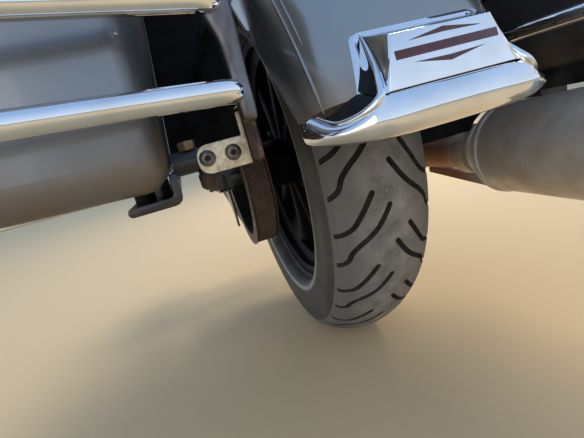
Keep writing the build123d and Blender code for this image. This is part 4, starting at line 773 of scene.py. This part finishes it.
# The dark line's share of the way from the ridge to the panel's edge, at each section.
line_shares = (0.05, 0.2, 0.35, 0.55, 0.93)
hollow_rows, line_radius = 12, 0.5
# The dark line round the panel is a painted shadow in the groove there.
groove_line_shadow = weathered("groove_line_painted_shadow", (3,), ("#0c0b0d", "#1d1a1a"), Roughness=0.6)
both_sides = ((1, "left"), (-1, "right"))
tip_wings = []
for hand, label in both_sides:
    mirrored = np.array((1, hand, 1))
    sections, line_route = [], []
    for number, share in enumerate(line_shares):
        crest, heel = np.array(ridge[number + 1]), np.array(foot[number])
        edge = panel_top + (panel_corner - panel_top) * number / (len(foot) - 1)
        hollow = heel * 0.5 + crest * 0.5 + (3.0, -1.5, -0.5)
        inner_slope = crest * 0.5 + edge * 0.5 + (0.8, 0, 0)
        sections.append([heel, hollow, crest, inner_slope, edge, edge + (14, -4, 0)])
        line_route.append(crest + (edge - crest) * share + (3.2 * share * (1 - share) - 0.2, 0, 0))
    wing_net = smooth_net(np.array(sections) * mirrored, 8, 6)
    verts, faces = ring_solid(wing_net)
    in_recess = [n % wing_net.shape[1] < hollow_rows for n in range(len(faces) - 2)] + [False] * 2
    tip_wings.append(piece(
        f"tip_wing_{label}", verts, faces, [chrome, hollow_painted_shade], "chrome", sharp=50, face_slots=in_recess
    ))
    line_radii = [line_radius] * len(line_route)
    for name, route, radii, sides, material in (
        ("bead", ridge, ridge_radii, 20, chrome), ("line", line_route, line_radii, 10, groove_line_shadow),
    ):
        coarse = np.column_stack([np.array(route) * mirrored, radii])
        fine = smooth_net(np.stack([coarse, coarse], axis=1), 8, 1)[:, 0]
        tip_wings.append(
            piece(f"tip_{name}_{label}", *bead(fine[:, :3], fine[:, 3], sides), [material], "chrome")
        )

# Flange of the tip, the casting's thin chromed edge that lies on the fender round the panel. It follows
# the fender's tail arc and the round of its crown.
flange_rows, flange_columns = 26, 61
flange_low, flange_high = 50.0, 108.5
half_low, half_loss = 72.5, 14.5
corner_start, corner_cut = 0.88, 6
proud, proud_at_rim, seated = 1.8, 0.6, 0.2
tail_centre, tail_radius, tail_crown, flat_half = (89.7, -155.4), 564.4, 45.0, 55
flange_rings = []
for column in range(flange_columns):
    across = column / (flange_columns - 1) * 2 - 1
    front, back = [], []
    for row in range(flange_rows):
        rise = row / (flange_rows - 1)
        height = flange_low + (flange_high - flange_low) * rise
        corner = max(0.0, rise - corner_start) / (1 - corner_start)
        half = half_low - half_loss * rise - corner_cut * (1 - sqrt(max(0.0, 1 - corner**2)))
        y = across * half
        tail = tail_centre[0] - sqrt(tail_radius**2 - (height - tail_centre[1]) ** 2)
        crown = tail_crown - sqrt(tail_crown**2 - max(0.0, abs(y) - flat_half) ** 2)
        at_rim = row == flange_rows - 1 or column in (0, flange_columns - 1)
        front.append((tail + crown - (proud_at_rim if at_rim else proud), y, height))
        back.append((tail + crown + seated, y, height))
    flange_rings.append(front + back[::-1])
tip_flange = piece("tip_flange", *ring_solid(flange_rings), [chrome], "chrome")
for tip_piece in (tip_lip, tip_panel, tip_flange, *tip_wings):
    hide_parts("fender_tip")

# Stripe and two darts, hard red-brown enamel laid into the panel. They stand a hair proud and catch
# a glossy edge.


def plate(name, outline, depth, place, material, slot, bevel):
    """A flat plate whose outline, in millimetres from the axle, is turned into space by a function."""
    count = len(outline)
    verts = [place(u, v, w) for w in (0, depth) for u, v in outline]
    verts = [axle + Vector(p) / 1000 for p in verts]
    faces = [tuple(range(count)), tuple(reversed(range(count, 2 * count)))]
    faces += [(n, (n + 1) % count, (n + 1) % count + count, n + count) for n in range(count)]
    made = piece(name, verts, faces, [material], slot)
    bevel_edges(made, bevel)
    return made


enamel = weathered(
    "red_brown_enamel", (6, 0.3, 0.7), ("#3c1519", "#512127"), Roughness=0.22, Coat_Weight=0.5
)
panel_foot_x, panel_foot_z, panel_lean = -452.0, 57.2, 0.165
inlay_thick, inlay_proud = 1.2, 1.0
for name, outline in (
    ("panel_stripe", ((44, 77.2), (44, 83.6), (-45, 84.2), (-45, 77.8))),
    ("panel_upper_dart", ((30, 89), (0, 93.6), (-32, 89.2), (0, 89.9))),
    ("panel_lower_dart", ((30, 73.2), (0, 72.6), (-32, 73.8), (0, 68.4))),
):
    plate(
        name, outline, inlay_thick,
        lambda y, z, w: (panel_foot_x + (z - panel_foot_z) * panel_lean - inlay_proud + w, y, z),
        enamel, "chrome", 0.2,
    )

# Belt where it wraps the rear pulley, with cross ribs moulded on its rubber back. The real ribs are
# under 2 mm apart, too fine to show, so they are drawn coarser.
rib_pitch, rib_height = 3.2, 0.8
wrap_start, wrap_turn = 86.53, 192.8
wrap_inner, wrap_outer = 122.35, 126.9
rib_count = int(radians(wrap_turn) * wrap_outer / rib_pitch)
wrap_rings = []
for step in range(rib_count * 4 + 1):
    turn = radians(wrap_start + wrap_turn * step / (rib_count * 4))
    outer = wrap_outer - (rib_height if step % 4 in (0, 1) else 0)
    ring = (
        (wrap_inner, 92.3), (outer - 0.8, 92.3), (outer, 93.2),
        (outer, 123.8), (outer - 0.8, 124.7), (wrap_inner, 124.7),
    )
    wrap_rings.append([(r * cos(turn), y, r * sin(turn)) for r, y in ring])
verts, faces = ring_solid(wrap_rings)
# Matt rubber between the ribs, darker than their tops: painted shade in the valleys.
valley_and_socket_shade = weathered("rib_and_socket_painted_shade", (5,), ("#332820", "#4a3c32"), Roughness=0.9)
in_valley = [n // 6 % 4 != 2 and n % 6 in (1, 2, 3) for n in range(len(faces) - 2)] + [False] * 2
belt_wrap = piece(
    "belt_rear_ribbed", verts, faces, [belt_rubber, valley_and_socket_shade], "belt_rubber", sharp=30,
    face_slots=in_valley,
)
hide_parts("belt_rear_wrap")

# Zinc-plated bracket, pressed from plate with a narrow ear up to the guard rail. Two socket button
# screws of dulled steel hold it to the stand-off tube.
bracket_back, bracket_thick = -378.3, 4.0
corner_turns = np.linspace(0, pi / 2, 9)
outline = [(152, 32)]
outline += [(185.5 + 10 * sin(t), 42.0 - 10 * cos(t)) for t in corner_turns]
outline += [(185.5 + 10 * cos(t), 46.0 + 10 * sin(t)) for t in corner_turns]
outline += [(155.5, 56), (155.5, 75), (152, 75)]
bracket = plate(
    "guard_bracket_plate", outline, bracket_thick, lambda y, z, w: (bracket_back - w, y, z),
    zinc, "zinc", 0.7,
)
screw_steel = weathered(
    "dull_screw_steel", (4, 0.3, 0.7), ("#5d5c5a", "#8b8780"), Metallic=0.8, Roughness=0.45
)
head = [
    (-0.2, 0.01), (-0.2, 6.6), (0.8, 6.8), (2.2, 6.1), (3.2, 4.8), (3.6, 3.6), (3.6, 2.7), (1.0, 2.6),
    (1.0, 0.01),
]
for number, (y, z) in enumerate(((187.3, 45.0), (165.8, 44.5))):
    seat = axle + Vector((bracket_back - bracket_thick, y, z)) / 1000
    verts, faces = lathe(head, 48, seat, (-1, 0, 0), hexed=(6, 7))
    # The hex sockets take the dark valley rubber, a painted shade down in the recess.
    in_socket = [n % len(head) in (6, 7) for n in range(len(faces))]
    screw = piece(
        f"bracket_screw_{number}", verts, faces, [screw_steel, valley_and_socket_shade], "steel", face_slots=in_socket
    )
    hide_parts("guard_bracket")
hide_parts("guard_bracket")

# Closing plates between each bag and the fender, thin sheet behind the guard's root. The right one goes
# down over the muffler, a dark sheet standing where the bike's underside lies in shade. Their matt black
# is painted shade that makes the gaps there look deep.
matt_black_shade = weathered(
    "matt_black_painted_shade", (20, 0.35, 0.8), ("#08090b", "#15171a"), relief=((0.8, 0.3, 0.7), 0.06, 0.5),
    Roughness=0.85, Specular_IOR_Level=0.2,
)
sheet_back, sheet_thick, sheet_low, sheet_high = -252.0, 1.2, 41.0, 205.0
sheet_top = [(218.4, sheet_low), (199.2, sheet_high), (110, sheet_high), (110, 137)]
# The right sheet's part over the muffler is painted shade, a dark sheet where only shadow lies.
over_muffler = [
    (128, 62), (93, 38), (88, 30), (88, -8), (92, -12), (165, -12), (175, -1.3),
    (190, 8.2), (205, 12.7), (214, 13.5), (214, sheet_low),
]
for hand, label, sheet_foot in ((1, "left", [(136.0, sheet_low)]), (-1, "right", over_muffler)):
    plate(
        f"closing_sheet_{label}", sheet_foot + sheet_top, sheet_thick,
        lambda y, z, w: (sheet_back + w, hand * y, z), matt_black_shade, "black_frame", 0.3,
    )

# Closers between the two tiers of each guard rail, flat steel welded on before plating. Their chrome is
# worn thin and stained brown, so they look duller than the tubes.
worn_chrome = weathered(
    "stained_worn_chrome", (14, 0.35, 0.7, 4.0, (1, 1, 0.4)), ("#84858a", "#5a4d42"),
    roughness=(0.3, 0.55), Metallic=1.0,
)


def soft_square(count, power):
    """Places round a square of half width 1 whose corners are well rounded."""
    turns = np.linspace(0, 2 * pi, count, endpoint=False)
    spokes = [(cos(turn), sin(turn)) for turn in turns]
    return [(np.sign(u) * abs(u) ** power, np.sign(v) * abs(v) ** power) for u, v in spokes]


closer_x = -445.0
# Height, distance to the side, half depth and half width of each section, in mm.
closer_sections = (
    (61.5, 156.8, 2, 2), (63.5, 156.8, 6.2, 4.6), (70, 156.8, 7.2, 5.6), (90, 157, 7.2, 5.8),
    (113, 157.2, 7.2, 6.8), (126, 158.8, 7.2, 8.8), (137, 160.5, 7, 10.6),
)
for hand, label in both_sides:
    rings = [
        [(closer_x + deep * u, hand * (y + wide * v), z) for u, v in soft_square(32, 0.6)]
        for z, y, deep, wide in closer_sections
    ]
    closer = ring_solid(smooth_net(np.array(rings), 5, 1))
    piece(f"guard_closer_{label}", *closer, [worn_chrome], "chrome", sharp=50)

# Rolled lower edges of the fender's skirts, and the stiffening beads pressed into its sides. They wear
# the fender's paint and catch a thin light line.
skirt_radius, skirt_y, edge_radius = 300, 98.6, 2.3
skirt_turns = np.radians(np.linspace(42, 135, 60))
skirt_route = [(skirt_radius * cos(turn), skirt_y, skirt_radius * sin(turn)) for turn in skirt_turns]
tail_run = zip(np.linspace(-212.1, -366, 30)[1:], np.linspace(212.1, 54, 30)[1:])
skirt_route += [(x, skirt_y, z) for x, z in tail_run]
bead_top, bead_count = 326.0, 70
for hand, label in both_sides:
    edge = bead(np.array(skirt_route) * (1, hand, 1), [edge_radius] * len(skirt_route), 14)
    piece(f"skirt_edge_{label}", *edge, [pewter], "silver_paint")
    for name, side_y, low, width in (("rear_bead", 92.5, 55.0, 1.7), ("fore_bead", 88.6, 112.0, 1.2)):
        drop = tail_crown - sqrt(tail_crown**2 - (side_y - flat_half) ** 2)
        reach = tail_radius - drop
        route = []
        for height in np.linspace(low, bead_top, bead_count):
            turn = np.arcsin((height - tail_centre[1]) / reach)
            route.append((tail_centre[0] - reach * cos(turn), hand * side_y, height))
        ends = [min(n, bead_count - 1 - n) for n in range(bead_count)]
        radii = [width * min(1.0, 0.3 + steps / 6) for steps in ends]
        piece(f"{name}_{label}", *bead(route, radii, 12), [pewter], "silver_paint")

# Small fittings by the bracket: a nut of tan passivated steel on the stand-off tube, and a moulded
# brown rubber cap pushed onto its stud.
tan_steel = weathered("tan_passivated_steel", (3,), ("#a08b72", "#6f5c48"), Metallic=0.3, Roughness=0.5)
nut = [(0, 3), (0, 6.9), (0.8, 7.5), (6.4, 7.5), (7.2, 6.9), (7.2, 3)]
nut_shape = lathe(nut, 48, axle + Vector((-368, 200, 55.6)) / 1000, (0, 0, 1), hexed=(1, 2, 3, 4))
piece("standoff_nut", *nut_shape, [tan_steel], "steel")
cap_rubber = weathered("brown_cap_rubber", (4,), ("#55402f", "#2c221b"), Roughness=0.7)
cap = [(0, 0.01), (0, 3.6), (0.9, 5.4), (2.6, 6.4), (12, 6.6), (13, 6.2), (13, 0.01)]
cap_shape = lathe(cap, 32, axle + Vector((-368, 191.5, 20.2)) / 1000, (0, 0, 1))
piece("stud_cap", *cap_shape, [cap_rubber], "black_rubber")

# Caps on the rear ends of the bags' angle rails, pressed from the same dark painted steel. Their round
# corners soften the rails' outline from behind.
rail_end, cap_thick = -398.2, 3.6
cap_turns = np.linspace(0, pi / 2, 7)
outline = [(220.2, 41), (214.5, 41)]
outline += [(221.5 - 7 * cos(t), 24.0 - 7 * sin(t)) for t in cap_turns]
outline += [(253.0 + 3.5 * sin(t), 20.5 - 3.5 * cos(t)) for t in 2 * cap_turns]
outline += [(224.2 - 4 * sin(t), 28.0 - 4 * cos(t)) for t in cap_turns]
for hand, label in both_sides:
    plate(
        f"rail_cap_{label}", outline, cap_thick, lambda y, z, w: (rail_end - w, hand * y, z),
        dark_steel, "dark_steel", 0.8,
    )

# Flanged hex bolts that hold the pulley and the brake disc to the hub, five a side, turned from bare
# steel like the axle.
bolt = [
    (-0.3, 0.01), (-0.3, 9.6), (1.4, 9.6), (2.0, 7.8), (6.4, 7.8), (7.2, 6.8), (7.2, 3.2), (6.4, 2.6),
    (6.4, 0.01),
]
bolt_circle, first_bolt = 50, 18
for face_y, hand, label in ((98.0, 1, "pulley"), (-87.0, -1, "disc")):
    for number in range(5):
        turn = radians(first_bolt + 72 * number)
        seat = axle + Vector((bolt_circle * cos(turn), face_y, bolt_circle * sin(turn))) / 1000
        bolt_shape = lathe(bolt, 48, seat, (0, hand, 0), hexed=(3, 4, 5))
        piece(f"{label}_bolt_{number}", *bolt_shape, [turned_steel], "steel", "wheel")

# Tyre valve, a moulded rubber stem pulled through the rim's well between two spokes, with a turned
# steel cap.
valve_turn = radians(20)
inward = Vector((-cos(valve_turn), 0.12, -sin(valve_turn)))
well = axle + Vector((182.5 * cos(valve_turn), 6, 182.5 * sin(valve_turn))) / 1000
stem = [(-1, 0.01), (-1, 8.6), (1.6, 8.2), (4.5, 5.6), (18, 4.6), (19, 4), (19, 0.01)]
cap = [(18.5, 0.01), (18.5, 4.4), (19.2, 4.9), (30, 4.9), (31.4, 3.8), (31.8, 0.01)]
piece("valve_stem", *lathe(stem, 32, well, inward), [pad_rubber], "black_rubber", "wheel")
piece("valve_cap", *lathe(cap, 32, well, inward), [turned_steel], "steel", "wheel")

# Bag latches, die-cast and chromed like the guards: a base plate with its lever riveted to each shell,
# and a keeper on the lid that rides with it.
latch_x, bag_slope, lid_slope = -155.0, 47.0 / 269.0, -16.0 / 64.5
rim_y, rim_z, sunk = 452.0, 300.0, 1.5
# Height, half width and how proud of the wall each section stands, in mm.
base = ((238, 12, 1), (240, 17, 2.4), (262, 20, 3), (284, 21, 3.2), (293, 20, 2.6), (295.5, 17, 1))
lever = ((243, 4, 3), (246, 8.2, 8), (255, 9.5, 10.6), (272, 11, 9.4), (286, 12.4, 7), (291, 11, 4))
keeper = ((303, 10, 1), (305, 13.5, 4.4), (314, 14, 5.4), (321, 12.5, 4.4), (324, 9, 1))
for name, sections, slope in (
    ("base", base, bag_slope), ("lever", lever, bag_slope), ("keeper", keeper, lid_slope),
):
    for hand, label in both_sides:
        rings = []
        for z, half, proud in sections:
            wall = rim_y + (z - rim_z) * slope
            rings.append([
                (latch_x + half * u, hand * (wall + (proud + sunk) * (1 + v) / 2 - sunk), z)
                for u, v in soft_square(40, 0.5)
            ])
        cast = ring_solid(smooth_net(np.array(rings, dtype=float), 6, 1))
        body = f"lid_{label}" if name == "keeper" else "rear_frame"
        piece(f"latch_{name}_{label}", *cast, [chrome], "chrome", body, sharp=60)

# Tail lamp's lens, moulded red acrylic with ribs across it, held by a chromed bezel. Some light goes
# into the acrylic, so it looks deep under its gloss.
red_lens = weathered(
    "red_lens", (40,), ("#7a0808", "#4e0404"), Roughness=0.08, Coat_Weight=1.0, Coat_Roughness=0.03,
    Transmission_Weight=0.35,
)
dress(red_lens, "tail_lamp_lens")
bezel_half, bezel_round, lamp_height = (52.6, 29.6), 18.6, 296.0
bezel_x, bezel_deep, bezel_wide, bezel_steps = -346.4, 2.6, 2.2, 16
bezel_rings = []
for quarter, (side_y, side_z) in enumerate(((1, 1), (-1, 1), (-1, -1), (1, -1))):
    for step in range(bezel_steps):
        turn = pi / 2 * (quarter + step / (bezel_steps - 1))
        y = side_y * (bezel_half[0] - bezel_round) + bezel_round * cos(turn)
        z = side_z * (bezel_half[1] - bezel_round) + bezel_round * sin(turn) + lamp_height
        ring = []
        for around in np.linspace(0, 2 * pi, bezel_steps, endpoint=False):
            out = bezel_wide * cos(around)
            ring.append((bezel_x + bezel_deep * sin(around), y + out * cos(turn), z + out * sin(turn)))
        bezel_rings.append(ring)
piece("lamp_bezel", *ring_solid(bezel_rings, loop=True), [chrome], "chrome")
rib_x, rib_reach, rib_radius, rib_gap, rib_points = -360.9, 40, 1.4, 7.5, 24
for number in range(5):
    height = lamp_height + rib_gap * (number - 2)
    route = [(rib_x, y, height) for y in np.linspace(-rib_reach, rib_reach, rib_points)]
    radii = [rib_radius * min(1.0, 0.25 + min(n, rib_points - 1 - n) / 4) for n in range(rib_points)]
    piece(f"lens_rib_{number}", *bead(route, radii, 14), [red_lens], "red_lens")

# Rolled seams where the muffler's shell meets its end cones, and the tube in its outlet, all of the
# same dirty chromed sheet.
muffler_line = axle + Vector((0, -215, -48)) / 1000
front = [(-267, 57.4), (-267, 59.8), (-265.6, 60.8), (-260, 60.6), (-258.4, 59.6), (-258.4, 57)]
rear = [(-486.5, 63), (-486, 65.4), (-484, 67.2), (-475, 66.9), (-473.4, 66.2), (-473.4, 64)]
outlet = [(-499, 26.6), (-499.8, 27.4), (-499.8, 29), (-499, 29.8), (-411, 29.8), (-411, 26.6)]
for name, profile in (("front_seam", front), ("rear_seam", rear), ("outlet_tube", outlet)):
    rolled = lathe(profile, 96, muffler_line, (1, 0, 0))
    piece(f"muffler_{name}", *rolled, [old_chrome], "chrome", sharp=50)
